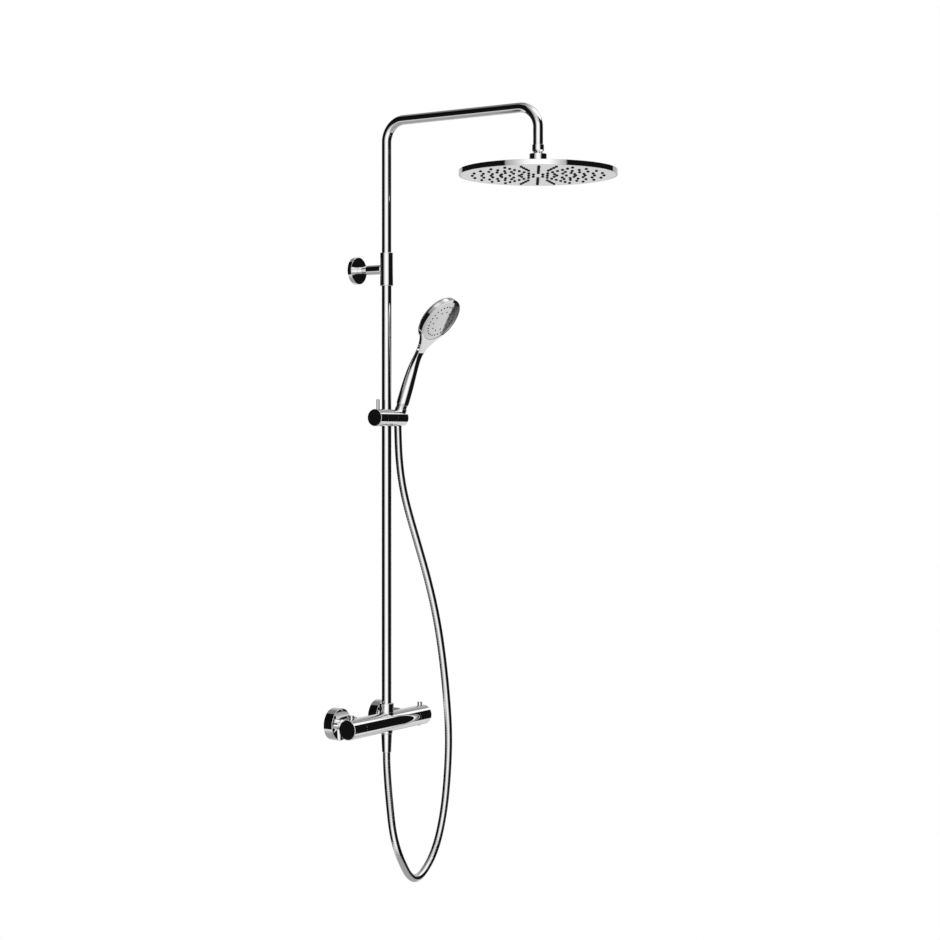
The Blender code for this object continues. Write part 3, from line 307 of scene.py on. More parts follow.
def tube_into(made, points, radius, bore=None, steps=STEPS):
    """Adds a pipe along a path; its ends are flat, and open into its bore if it has one."""
    along = frames_along(points)

    def skin(size):
        return [[made.verts.new(p + size * (math.cos(a) * x + math.sin(a) * y)) for a in turns_of(steps)]
                for p, x, y, _ in along]

    def wrap(rings):
        for one, two in zip(rings, rings[1:]):
            band(made, one, two)

    outer = skin(radius)
    wrap(outer)
    if bore is None:
        made.faces.new(outer[0])
        made.faces.new(outer[-1])
        return
    inner = skin(bore)
    wrap(inner)
    band(made, outer[0], inner[0])
    band(made, outer[-1], inner[-1])


def arc_points(centre, first, axis, degrees, steps):
    """Points that turn from first about centre."""
    return [centre + Matrix.Rotation(math.radians(degrees * k / steps), 3, axis) @ (first - centre)
            for k in range(steps + 1)]


def solid_of(name, profile, place, steps=STEPS):
    """A cutter, which carve() uses up."""
    made = bmesh.new()
    lathe_into(made, profile, place, steps)
    return finish_mesh(made, name, CHROME)


def carve(obj, tool, operation="DIFFERENCE"):
    """Cuts obj with tool, or joins them, and removes the tool."""
    step = obj.modifiers.new("carve", "BOOLEAN")
    step.operation, step.object, step.solver = operation, tool, "EXACT"
    bpy.context.view_layer.update()
    shape = obj.evaluated_get(bpy.context.evaluated_depsgraph_get())
    mesh = bpy.data.meshes.new_from_object(shape)
    obj.modifiers.clear()
    look, old = obj.data.materials[0], obj.data
    obj.data = mesh
    mesh.materials.clear()
    mesh.materials.append(look)
    for poly in mesh.polygons:
        poly.material_index = 0
    bpy.data.meshes.remove(old)
    tool_mesh = tool.data
    bpy.data.objects.remove(tool)
    bpy.data.meshes.remove(tool_mesh)


def clean_shading(obj, rounds):
    """After a cut: sharp edges by angle, and exact normals on the cylinders in rounds.

    A cylinder is (point on its axis, axis, radius)."""
    mesh = obj.data
    made = bmesh.new()
    made.from_mesh(mesh)
    bmesh.ops.remove_doubles(made, verts=made.verts[:], dist=0.004 * MM)
    bmesh.ops.dissolve_degenerate(made, edges=made.edges[:], dist=0.001 * MM)
    shade_by_angle(made)
    made.to_mesh(mesh)
    made.free()
    mesh.update()
    weigh_normals(obj)
    mesh = obj.data
    corner = [Vector(n.vector) for n in mesh.corner_normals]
    for poly in mesh.polygons:
        for k in poly.loop_indices:
            point = mesh.vertices[mesh.loops[k].vertex_index].co
            for centre, axis, radius in rounds:
                away = point - centre
                away = away - axis * away.dot(axis)
                aligned = abs(away.normalized().dot(poly.normal)) > ALIGNED
                if abs(away.length - radius) < ON_SKIN and aligned:
                    corner[k] = away.normalized() * (1 if away.dot(poly.normal) > 0 else -1)
    mesh.normals_split_custom_set(corner)


def joins(obj, body, nodes):
    """obj rides on a body and stands for CAD nodes, which it hides."""
    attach(obj, body)
    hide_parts(*nodes)
    return obj


# ---- camera, light and floor -----------------------------------------------------------------------
CAMERA_AZIMUTH = math.radians(-57.65)
camera_data = bpy.data.cameras.new("camera")
camera = bpy.data.objects.new("camera", camera_data)
bpy.context.scene.collection.objects.link(camera)
camera.location = (-3.17427, -2.28242, 0.56166)
camera.rotation_euler = (math.radians(90), 0, CAMERA_AZIMUTH)
camera_data.sensor_width = 36
camera_data.lens = 74.563
camera_data.shift_y = -0.0331
camera_data.clip_start = 0.05
camera_data.clip_end = 50
bpy.context.scene.camera = camera
bpy.context.scene.view_settings.view_transform = "Standard"


RAMP_DEGREES = 100.0


def studio():
    """A pale tent: one soft box towards the room, dark flags beside it, white above, grey below, and a pale
    backdrop behind. Everything turns about the vertical, and is given by azimuth and elevation."""
    world = bpy.data.worlds.new("studio")
    bpy.context.scene.world = world
    world.use_nodes = True
    nodes, links = world.node_tree.nodes, world.node_tree.links
    nodes.clear()

    def math_node(kind, *values):
        node = nodes.new("ShaderNodeMath")
        node.operation = kind
        for socket, value in zip(node.inputs, values):
            if isinstance(value, (int, float)):
                socket.default_value = value
            else:
                links.new(value, socket)
        return node.outputs[0]

    def times(one, two):
        return math_node("MULTIPLY", one, two)

    def rest_of(share):
        return math_node("SUBTRACT", 1.0, share)

    def ramp(factor, stops):
        node = nodes.new("ShaderNodeValToRGB")
        elements = node.color_ramp.elements
        elements[0].position, elements[1].position = stops[0][0], stops[-1][0]
        for place, _ in stops[1:-1]:
            elements.new(place)
        for element, (place, value) in zip(elements, stops):
            element.position, element.color = place, (value, value, value, 1)
        links.new(factor, node.inputs[0])
        return node.outputs[0]

    def mix(factor, one, two):
        return math_node("ADD", times(one, rest_of(factor)), times(two, factor))

    def smooth(value, low, high):
        node = nodes.new("ShaderNodeMapRange")
        node.interpolation_type = "SMOOTHSTEP"
        links.new(value, node.inputs["Value"])
        for socket, bound in (("From Min", low), ("From Max", high)):
            if isinstance(bound, (int, float)):
                node.inputs[socket].default_value = bound
            else:
                links.new(bound, node.inputs[socket])
        return node.outputs["Result"]

    coordinates = nodes.new("ShaderNodeTexCoord")
    parts = nodes.new("ShaderNodeSeparateXYZ")
    links.new(coordinates.outputs["Generated"], parts.inputs[0])
    x, y, z = parts.outputs
    toward = (-0.845, -0.535)
    beside = (0.535, -0.845)
    ahead = math_node("ADD", times(x, toward[0]), times(y, toward[1]))
    aside = math_node("ADD", times(x, beside[0]), times(y, beside[1]))
    azimuth = math_node("DIVIDE", math_node("ARCTAN2", aside, ahead), 2 * math.pi)
    azimuth = math_node("ADD", azimuth, 0.5)
    elevation = math_node("MULTIPLY", math_node("ARCSINE", z), 180 / math.pi)

    def around(stops):
        return ramp(azimuth, [(0.5 + degrees / 360, value) for degrees, value in stops])

    dark = 0.006
    level = around([(-180, 0.70), (-165, 0.62), (-148, 0.46), (-146, dark), (-51, dark), (-49, 0.36),
                    (-39, 0.52), (-30, 0.70), (-21, 0.92), (-12, 1.03), (14, 1.03), (23, 0.80), (32, 0.57),
                    (38, 0.44), (40, dark), (135, dark), (137, 0.42), (150, 0.46), (165, 0.62), (180, 0.70)])
    shade = around([(-180, 0.4), (-150, 0.4), (-141, 0), (125, 0), (130, 1), (150, 1), (158, 0.45),
                    (180, 0.4)])
    low = rest_of(smooth(elevation, -18.0, -12.0))
    level = times(level, rest_of(times(times(low, shade), 0.8)))
    level = times(level, rest_of(times(smooth(elevation, 18.0, 27.0), 0.35)))
    # a dark slot gives the tubes their crisp edges; in these ramps 0.14 stands for 14 degrees
    slot = around([(-180, 0.06), (-163, 0.06), (-160, 0.14), (-140, 0.14), (-139, 0), (130, 0), (131, 0.14),
                   (160, 0.14), (163, 0.06), (180, 0.06)])
    slot_low = times(slot, -RAMP_DEGREES)
    in_slot = times(smooth(elevation, slot_low, math_node("ADD", slot_low, 0.6)),
                    rest_of(smooth(elevation, 4.4, 5.2)))
    behind = around([(-180, 1), (-139, 1), (-138, 0), (130, 0), (131, 1), (180, 1)])
    level = times(level, rest_of(times(times(in_slot, behind), 0.9)))
    ceiling_edge = around([(-180, 0.38), (-150, 0.42), (-107, 0.55), (-60, 0.58), (0, 0.5), (60, 0.40),
                           (100, 0.255), (139, 0.255), (141, 0.60), (165, 0.60), (180, 0.38)])
    ceiling_edge = times(ceiling_edge, RAMP_DEGREES)
    ceiling = around([(-180, 0.20), (-107, 0.20), (-60, 0.45), (0, 0.9), (60, 1.0), (110, 1.1), (150, 1.05),
                      (170, 0.6), (180, 0.20)])
    floor_edge = around([(-180, 0.29), (-110, 0.26), (-70, 0.26), (0, 0.27), (26, 0.30), (30, 0.42),
                         (100, 0.40), (118, 0.27), (127, 0.257), (136, 0.288), (180, 0.29)])
    floor_edge = times(floor_edge, -RAMP_DEGREES)
    overhead = mix(smooth(elevation, 66.0, 88.0), ceiling, 0.30)
    below = ramp(math_node("DIVIDE", elevation, -90.0), [
        (0.0, 0.78), (0.22, 0.75), (0.36, 0.71), (0.47, 0.42), (0.58, 0.34), (1.0, 0.32)])
    above_it = smooth(elevation, ceiling_edge, math_node("ADD", ceiling_edge, 2.0))
    under_it = rest_of(smooth(elevation, math_node("SUBTRACT", floor_edge, 0.8), floor_edge))
    value = mix(under_it, mix(above_it, level, overhead), below)
    path = nodes.new("ShaderNodeLightPath")
    value = mix(path.outputs["Is Camera Ray"], value, 1.0)
    colour = nodes.new("ShaderNodeCombineXYZ")
    for socket in colour.inputs:
        links.new(value, socket)
    glow = nodes.new("ShaderNodeBackground")
    links.new(colour.outputs[0], glow.inputs["Color"])
    out = nodes.new("ShaderNodeOutputWorld")
    links.new(glow.outputs[0], out.inputs["Surface"])


studio()

FLOOR_LOOK = material("pale_floor", (0.80, 0.80, 0.79), 0.0, 0.6, 0.1, 8.0, 0.05, 60.0, 0.02)
FLOOR_RADIUS, FLOOR_DEPTH = 0.9, 20 * MM
FLOOR_PLACE = Matrix.Translation((0, -0.5, -1.0))
made = bmesh.new()
lathe_into(made, [(0, 0), (FLOOR_RADIUS, 0, 4 * MM), (FLOOR_RADIUS, -FLOOR_DEPTH), (0, -FLOOR_DEPTH)],
           FLOOR_PLACE)
finish_mesh(made, "floor", FLOOR_LOOK)

# ---- hose ------------------------------------------------------------------------------------------
HOSE_NUT_START = 22.7 * MM
HOSE_NUT_END = 59.4 * MM
HOSE_START = 35.3 * MM
HOSE_END = 5 * MM
HOSE_ROUTE = [
    (-1, -77, -85), (-8, -85, -125), (-17, -96, -165), (-24, -106, -203), (-24, -113, -231),
    (-16, -117, -257), (-1, -118, -281), (17, -117, -302), (40, -116, -315), (65, -115, -311),
    (90, -113, -298), (113, -112, -279), (133, -113, -246), (142, -120, -190), (142, -128, -118),
    (138, -134, -39), (129, -134, 41), (119, -131, 120), (107, -125, 199), (92, -114, 277),
    (74, -100, 353), (58, -87, 421), (49, -80, 469), (42, -77, 520), (41, -75, 575),
]


def smooth_route(points, rounds):
    """Corner cutting: each round replaces a corner by two points nearer its neighbours."""
    for _ in range(rounds):
        cut = [points[0]]
        for a, b in zip(points, points[1:]):
            cut += [a * 0.75 + b * 0.25, a * 0.25 + b * 0.75]
        points = cut + [points[-1]]
    return points


def spaced(points, gaps):
    """Points at the given distances along a polyline."""
    found, walked, i = [], 0.0, 0
    for at in gaps:
        while i < len(points) - 2 and walked + (points[i + 1] - points[i]).length < at:
            walked += (points[i + 1] - points[i]).length
            i += 1
        step = points[i + 1] - points[i]
        found.append(points[i] + step * min(1.0, max(0.0, (at - walked) / step.length)))
    return found


def hose_points():
    route = [BAR + DOWN * HOSE_START, BAR + DOWN * (HOSE_NUT_END + 5 * MM)]
    route += [Vector(point) * MM for point in HOSE_ROUTE]
    route += [SEAT + HANDSET_AXIS * (HOSE_END - back) for back in (9 * MM, 3 * MM, 0)]
    return smooth_route(route, 5)


PITCH = 3.4 * MM
RIB = [(0.0, 0.0), (0.84, 0.0), (0.92, 0.07)]
HOSE_SIDES = 28


def hose_piece(name, points):
    """A metal hose wound from one strip: a smooth turn, then a fine groove, all on one helix."""
    total = sum((b - a).length for a, b in zip(points, points[1:]))
    turns = max(1, round(total / PITCH))
    pitch = total / turns
    stations = [((n + share) * pitch, depth * MM) for n in range(turns) for share, depth in RIB]
    stations.append((total, 0.0))
    places = spaced(points, [at for at, _ in stations])
    made = bmesh.new()
    rings = []
    for (p, x, y, _), (_, depth) in zip(frames_along(places), stations):
        size = HOSE_RADIUS - depth
        rings.append([made.verts.new(p + size * (math.cos(a) * x + math.sin(a) * y))
                      for a in turns_of(HOSE_SIDES)])
    for one, two in zip(rings, rings[1:]):
        band(made, one, two)
    made.faces.new(rings[0])
    made.faces.new(rings[-1])
    return finish_mesh(made, name, HOSE_CHROME, weigh=False), total, places[::3] + [places[-1]]


def hose():
    """One hose in four lengths, split at three points on the way from the mixer to the handset."""
    points = hose_points()
    half = len(points) // 2

    def first(passed):
        return next(i for i, p in enumerate(points) if i > half and passed(p))

    travels, swivels, seated = 0.464, 0.54, 0.588
    cuts = [first(lambda p: p.z > travels), first(lambda p: p.z > swivels),
            first(lambda p: (p - SEAT).dot(HANDSET_AXIS) > -1 * MM)]
    low, length, path = hose_piece("hose_lower_run", points[:cuts[0] + 1])
    turning, _, _ = hose_piece("hose_under_slider", points[cuts[0]:cuts[1] + 1])
    tilting, _, _ = hose_piece("hose_in_holder", points[cuts[1]:cuts[2] + 1])
    lifting, _, _ = hose_piece("hose_in_cone_nut", points[cuts[2]:])
    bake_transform(low)
    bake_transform(turning)
    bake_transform(tilting)
    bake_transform(lifting)
    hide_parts("shower_hose")
    pieces = (low, turning, tilting, lifting)
    return pieces, length, path


# ---- mixer -----------------------------------------------------------------------------------------
def mixer():
    along, up, down = placed(BAR, RIGHT), placed(BAR, UP), placed(BAR, DOWN)
    made = bmesh.new()
    bore, depth, root = 15 * MM, 33.35 * MM, 14 * MM
    lathe_into(made, [(0, -depth), (bore, -depth), (bore, -BODY_HALF), (BAR_RADIUS, -BODY_HALF, EDGE),
                      (BAR_RADIUS, BODY_HALF, EDGE), (bore, BODY_HALF), (bore, depth), (0, depth)],
               along, FINE)
    shoulder, boss_end = 20 * MM, 27 * MM
    lathe_into(made, [(COLLAR_RADIUS, root), (COLLAR_RADIUS, shoulder, 0.2 * MM), (SOCKET_BORE, shoulder),
                      (SOCKET_BORE, boss_end), (WATERWAY, boss_end), (WATERWAY, root)], up)
    outlet, outlet_end, thread, thread_end = 11.8 * MM, 22.4 * MM, 8.2 * MM, 33 * MM
    lathe_into(made, [(outlet, root), (outlet, outlet_end, 1 * MM), (thread, outlet_end),
                      (thread, thread_end), (WATERWAY, thread_end), (WATERWAY, root)], down)
    boss, boss_bore, boss_root = 12.2 * MM, 6.5 * MM, 15.6 * MM
    for side in (RIGHT, LEFT):
        lathe_into(made, [(boss, boss_root), (boss, boss_end), (boss_bore, boss_end),
                          (boss_bore, boss_root)], placed(BAR + side * INLET_X, WALL))
    joins(finish_mesh(made, "mixer_body", CHROME), "column", ["valve_body"])
    for word, side in (("cold", RIGHT), ("hot", LEFT)):
        inlet(word, placed(BAR + side * INLET_X, WALL))
    nut_low, nut_top, nut_bore, step = 20.3 * MM, 37.8 * MM, 12.6 * MM, 32.7 * MM
    joins(lathe("riser_collar_nut", CHROME, [
        (COLLAR_RADIUS, nut_top, 1 * MM), (COLLAR_RADIUS, nut_low, 0.4 * MM), (nut_bore, nut_low),
        (nut_bore, step), (TUBE_FIT, step), (TUBE_FIT, nut_top, 0.3 * MM)], up),
        "column", ["riser_nut"])
    wide_end, narrow_end, thread_room, hose_room, step = 10.6 * MM, 8.95 * MM, 8.5 * MM, 7.7 * MM, 35 * MM
    joins(lathe("hose_outlet_nut", CHROME, [
        (narrow_end, HOSE_NUT_END, 0.6 * MM), (wide_end, HOSE_NUT_START, 0.6 * MM),
        (thread_room, HOSE_NUT_START), (thread_room, step), (hose_room, step),
        (hose_room, HOSE_NUT_END, 0.2 * MM)], down),
        "column", ["hose_lower_nut"])


def hex_nut(name, flats, low, high, hole, wide_hole, step_at, place):
    """Hexagonal nut with turned ends, a narrow hole at its far end and a wide one before it."""
    made, chamfer = bmesh.new(), 0.9 * MM
    sixth = math.radians(60)

    def hexagon(angle):
        return flats / 2 / math.cos((angle + sixth / 2) % sixth - sixth / 2)

    limit = flats / 2 + 0.35 * MM
    rings = []
    wider = limit + 0.8 * MM
    for at, cap in ((low, limit), (low + chamfer * 0.4, wider), (low + chamfer, flats),
                    (high - chamfer, flats), (high - chamfer * 0.4, wider), (high, limit)):
        ring = []
        for a in turns_of(FINE):
            size = min(hexagon(a), cap)
            ring.append(made.verts.new(place @ Vector((size * math.cos(a), size * math.sin(a), at))))
        rings.append(ring)
    for radius, at in ((hole, high), (hole, step_at), (wide_hole, step_at), (wide_hole, low)):
        rings.append(ring_of(made, place, radius, at, FINE))
    for one, two in zip(rings, rings[1:] + rings[:1]):
        for k in range(FINE):
            n = (k + 1) % FINE
            made.faces.new((one[k], two[k], two[n], one[n]))
    return finish_mesh(made, name, CHROME)


def inlet(word, place):
    rim, face = COLUMN_OFFSET, COLUMN_OFFSET - 20.5 * MM
    radius, skin = 31.5 * MM, 1.5 * MM
    joins(lathe(word + "_cover_rosette", CHROME, [
        (radius, rim), (radius, face, 1.1 * MM), (10.75 * MM, face, 0.3 * MM), (10.75 * MM, face + skin),
        (radius - skin, face + skin), (radius - skin, rim)], place, FINE), "column", [word + "_rosette"])
    joins(hex_nut(word + "_coupling_nut", flats=31 * MM, low=19.8 * MM, high=37.6 * MM, hole=9.9 * MM,
                  wide_hole=12.5 * MM, step_at=34.6 * MM, place=place), "column", [word + "_union_nut"])


def handles():
    for word, side, body in (("temperature", RIGHT, "temperature_handle"), ("flow", LEFT, "flow_handle")):
        along = placed(BAR, side)
        start, inner, end_wall, hub = 93.65 * MM, 16.5 * MM, 127 * MM, 7.5 * MM
        spindle, spindle_end = 4.3 * MM, 123.3 * MM
        grip = lathe(word + "_grip", CHROME, [
            (0, BAR_END), (BAR_RADIUS, BAR_END, 1.3 * MM), (BAR_RADIUS, start, EDGE), (inner, start),
            (inner, end_wall), (hub, end_wall), (hub, 100.65 * MM), (spindle, 100.65 * MM),
            (spindle, spindle_end), (0, spindle_end)], along, FINE, 6)
        above = placed(BAR + side * 118 * MM, UP)
        carve(grip, solid_of("hole", [(0, 12 * MM), (5 * MM, 12 * MM), (5 * MM, CUT_PAST),
                                      (0, CUT_PAST)], above))
        if word == "temperature":
            below = placed(BAR + RIGHT * 116 * MM, DOWN)
            carve(grip, solid_of("hole", [(0, 4.2 * MM), (2.3 * MM, 4.2 * MM), (2.3 * MM, CUT_PAST),
                                          (0, CUT_PAST)], below, 48))
        clean_shading(grip, [(BAR, RIGHT, BAR_RADIUS), (BAR, RIGHT, inner)])
        joins(grip, body, [word + "_handle"])
        radius, groove, top, dish = 4.7 * MM, 4.4 * MM, 26.7 * MM, 26.7 * MM - 0.35 * MM
        foot, foot_top, foot_low = 5.8 * MM, 14.98 * MM, 13.48 * MM
        button = lathe(word + "_button", CHROME, [
            (0, dish), (3.1 * MM, dish, 0.2 * MM), (3.4 * MM, top, 0.2 * MM), (radius, top, 0.8 * MM),
            (radius, 22.6 * MM), (groove, 22.3 * MM), (groove, 21.8 * MM), (radius, 21.5 * MM),
            (radius, foot_top), (foot, foot_top), (foot, foot_low), (0, foot_low)], above, 64)
        joins(button, word + "_button", [word + "_stop_button"])
        button_spring(word, above)


def button_spring(word, place):
    """The spring under a stop button, as a fixed coil of wire."""
    low, high, coil, wire, turns, turn_steps = 8.2 * MM, 13.0 * MM, 3.5 * MM, 0.35 * MM, 4, 24
    count = turn_steps * turns
    points = [place @ Vector((coil * math.cos(a), coil * math.sin(a), low + (high - low) * k / count))
              for k, a in ((k, 2 * math.pi * k / turn_steps) for k in range(count + 1))]
    made = bmesh.new()
    tube_into(made, points, wire, steps=10)
    spring = finish_mesh(made, word + "_spring", STEEL, weigh=False)
    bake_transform(spring)
    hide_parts(word + "_button_spring")


# ---- riser, bracket, arm ---------------------------------------------------------------------------
def riser():
    level = BAR + UP * BRACKET_HEIGHT
    joins(lathe("riser_tube_lower", CHROME, [
        (COLUMN_RADIUS, TUBE_JOINT - TUBE_GAP, 0.2 * MM), (COLUMN_RADIUS, 32.4 * MM),
        (SOCKET_BORE, 32.4 * MM),
        (SOCKET_BORE, 29 * MM), (TUBE_BORE, 29 * MM), (TUBE_BORE, TUBE_JOINT - TUBE_GAP)], placed(BAR, UP)),
        "column", ["lower_riser_tube"])
    half, bevel, sleeve = 32.75 * MM, 0.8 * MM, 12.8 * MM
    made = bmesh.new()
    lathe_into(made, [(sleeve, half, bevel), (sleeve, -half, bevel), (TUBE_FIT, -half, 0.3 * MM),
                      (TUBE_FIT, half, 0.3 * MM)], placed(level, UP))
    thin, thick, neck_start, neck_end = 6.8 * MM, 9.5 * MM, 11.2 * MM, 71.7 * MM
    lathe_into(made, [(0, neck_end), (thin, neck_end), (thin, 57.4 * MM, 1.5 * MM),
                      (thick, 44.4 * MM, 2 * MM), (thick, neck_start), (0, neck_start)], placed(level, WALL))
    joins(finish_mesh(made, "bracket_sleeve", CHROME), "column", ["wall_bracket"])
    radius, hole, depth, skin = 27 * MM, 7.1 * MM, 9.2 * MM, 1.2 * MM
    joins(lathe("bracket_rosette", CHROME, [
        (hole, depth), (radius, depth, 0.9 * MM), (radius, 0), (radius - skin, 0),
        (radius - skin, depth - skin), (hole, depth - skin)],
        placed(Vector((0, 0, BRACKET_HEIGHT)), ROOM), FINE), "column", ["wall_rosette"])


def arm():
    rise = BAR + UP * (ARM_HEIGHT - BEND_RADIUS)
    corner = rise + ROOM * BEND_RADIUS
    far = HEAD + UP * (ARM_HEIGHT - BEND_RADIUS) - ROOM * BEND_RADIUS
    start = far + UP * BEND_RADIUS
    path = [BAR + UP * (TUBE_JOINT + TUBE_GAP)]
    path += arc_points(corner, rise, "X", 90, 32)
    path += arc_points(far, start, "X", 90, 32)
    path += [HEAD + UP * 1117.3 * MM]
    made = bmesh.new()
    tube_into(made, path, COLUMN_RADIUS, TUBE_BORE)
    joins(finish_mesh(made, "arm_tube", CHROME), "swivel_arm", ["upper_riser_tube"])
    ball, neck, stem_bore = 11 * MM, NECK_RADIUS, 4 * MM
    first = math.atan2(neck, math.sqrt(ball ** 2 - neck ** 2))
    last = math.pi - math.asin(stem_bore / ball)
    sphere = [(ball * math.sin(a), BALL_HEIGHT + ball * math.cos(a))
              for a in (first + (last - first) * k / 24 for k in range(25))]
    collar, collar_low, collar_top, plug, plug_top = 11.35 * MM, 1106.6 * MM, 1117 * MM, 7.6 * MM, 1130 * MM
    joins(lathe("arm_stem", CHROME, [
        (plug, plug_top), (plug, collar_top), (collar, collar_top, 0.5 * MM),
        (collar, collar_low, 0.4 * MM), (neck, 1101.4 * MM, 1.0 * MM), *sphere, (stem_bore, plug_top)],
        placed(HEAD, UP)), "swivel_arm", ["ball_stem"])


# ---- rain head -------------------------------------------------------------------------------------
RING_PITCH = 17.75 * MM
RING_COUNTS = (6, 12, 12, 24, 24, 24, 24)
RING_TURN = math.radians(0.95)
CROWN_RISE = 3.04 * MM
CROWN_POWER = 1.2


def rain_head():
    place = placed(HEAD, UP)
    nut_top, nut_low = BALL_HEIGHT + 11.8 * MM, BALL_HEIGHT - 14 * MM
    cup, boss = 12.95 * MM, 13.9 * MM
    joins(lathe("head_swivel_nut", CHROME, [
        (12 * MM, nut_top), (FLANGE_RADIUS, nut_top, 0.9 * MM), (FLANGE_RADIUS, nut_low, 0.4 * MM),
        (boss + GAP, nut_low), (boss + GAP, BALL_HEIGHT + 2.2 * MM),
        (10.3 * MM, BALL_HEIGHT + 5.2 * MM)], place), "rain_head", ["swivel_nut"])
    flange = nut_low - GAP
    skin = 2 * MM
    edge = HEAD_RADIUS - skin
    sphere = [(cup * math.sin(math.radians(d)), BALL_HEIGHT + cup * math.cos(math.radians(d)))
              for d in (155, 141, 128, 114, 101)]
    crown = [(HEAD_RADIUS * s, HEAD_TOP + CROWN_RISE * (1 - s) ** CROWN_POWER)
             for s in (0.2, 0.35, 0.5, 0.65, 0.8, 0.92)]
    joins(lathe("head_shell", CHROME, [
        (boss, BALL_HEIGHT - 2.5 * MM), (boss, flange), (FLANGE_RADIUS, flange),
        (FLANGE_RADIUS, flange - 1.5 * MM, 0.6 * MM), *crown, (HEAD_RADIUS, HEAD_TOP + 1.2 * MM, 0.3 * MM),
        (HEAD_RADIUS, HEAD_UNDERSIDE, 0.4 * MM), (edge, HEAD_UNDERSIDE), (edge, HEAD_TOP - skin),
        (HEAD_RADIUS * 0.45, HEAD_TOP - 0.4 * MM), (NECK_RADIUS, flange - 3.5 * MM),
        (5 * MM, BALL_HEIGHT - cup), *sphere], place, HEAD_STEPS), "rain_head", ["head_top_shell"])
    plate_edge, plate_top = edge - 0.4 * MM, HEAD_UNDERSIDE + 2.2 * MM
    plate = lathe("head_spray_face", SPRAY_PLATE, [
        (0, HEAD_UNDERSIDE), (plate_edge, HEAD_UNDERSIDE, 0.3 * MM), (plate_edge, plate_top),
        (0, plate_top)], place, HEAD_STEPS)
    joins(plate, "rain_head", ["head_spray_plate"])
    made = bmesh.new()
    for ring, count in enumerate(RING_COUNTS, 1):
        for k in range(count):
            a = 2 * math.pi * k / count + RING_TURN
            spot = HEAD + RING_PITCH * ring * Vector((math.cos(a), math.sin(a), 0)) + UP * HEAD_UNDERSIDE
            nozzle_into(made, placed(spot, DOWN), 3.05 * MM, 1.9 * MM)
    nozzles = finish_mesh(made, "head_nozzles", NOZZLE)
    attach(nozzles, "rain_head")


def nozzle_into(made, place, radius, height):
    """A soft cone with a small hole in its tip, on a wider foot; it starts a little under the surface."""
    lathe_into(made, [
        (0, -0.4 * MM), (radius * 1.18, -0.4 * MM), (radius * 1.18, 0.15 * MM), (radius, 0.35 * MM),
        (radius * 0.62, height * 0.92), (radius * 0.48, height), (radius * 0.24, height),
        (radius * 0.24, height - 0.9 * MM), (0, height - 0.9 * MM)], place, 16)


# ---- slider, knob and holder -----------------------------------------------------------------------
def slider():
    along, up = placed(SLIDER, RIGHT), placed(SLIDER, UP)
    bush, bush_half, ease_edge = 12.2 * MM, 16 * MM, 0.3 * MM
    joins(lathe("slider_sleeve", WHITE_PLASTIC, [
        (bush, bush_half, ease_edge), (bush, -bush_half, ease_edge), (TUBE_FIT, -bush_half, ease_edge),
        (TUBE_FIT, bush_half, ease_edge)], up, 72), "slider_sleeve", ["slider_bush"])
    half, bore = 17.5 * MM, 12.5 * MM
    block = lathe("slider_barrel", CHROME, [
        (0, -half), (SLIDER_RADIUS, -half, EDGE), (SLIDER_RADIUS, half, EDGE), (0, half)], along, FINE)
    for room, place, steps in ((bore, up, STEPS), (SCREW_ROOM, along, 48)):
        carve(block, solid_of("hole", [(0, -CUT_PAST), (room, -CUT_PAST), (room, CUT_PAST),
                                       (0, CUT_PAST)], place, steps))
    clean_shading(block, [(SLIDER, RIGHT, SLIDER_RADIUS), (SLIDER, UP, bore), (SLIDER, RIGHT, SCREW_ROOM)])
    joins(block, "slider", ["slider_body"])
    left = placed(SLIDER, LEFT)
    start, end = half + GAP, 41.3 * MM
    knob = lathe("clamp_knob", CHROME, [
        (0, end), (SLIDER_RADIUS, end, 1.0 * MM), (SLIDER_RADIUS, start, EDGE), (SCREW_ROOM, start),
        (SCREW_ROOM, 38.1 * MM), (0, 38.1 * MM)], left, FINE, 6)
    lever_x = start + 11.75 * MM
    lever = placed(SLIDER + LEFT * lever_x, UP)
    carve(knob, solid_of("hole", [(0, 6.2 * MM), (3.45 * MM, 6.2 * MM), (3.45 * MM, CUT_PAST), (0, CUT_PAST)],
                         lever, 48))
    clean_shading(knob, [(SLIDER, RIGHT, SLIDER_RADIUS)])
    joins(knob, "slider_knob", ["slider_knob"])
    joins(lathe("clamp_lever", CHROME, [
        (0, 36.5 * MM), (3.15 * MM, 36.5 * MM, 0.9 * MM), (3.15 * MM, 6.5 * MM), (0, 6.5 * MM)], lever, 48),
        "slider_knob", ["knob_lever"])
    holder()


CONE_LOW, CONE_HIGH = 6 * MM, 28.7 * MM
CONE_THIN, CONE_WIDE = 9.2 * MM, 11 * MM


def cone_radius(height):
    """The radius of the hose's conical nut at a height above the seat."""
    return CONE_THIN + (height - CONE_LOW) / (CONE_HIGH - CONE_LOW) * (CONE_WIDE - CONE_THIN)


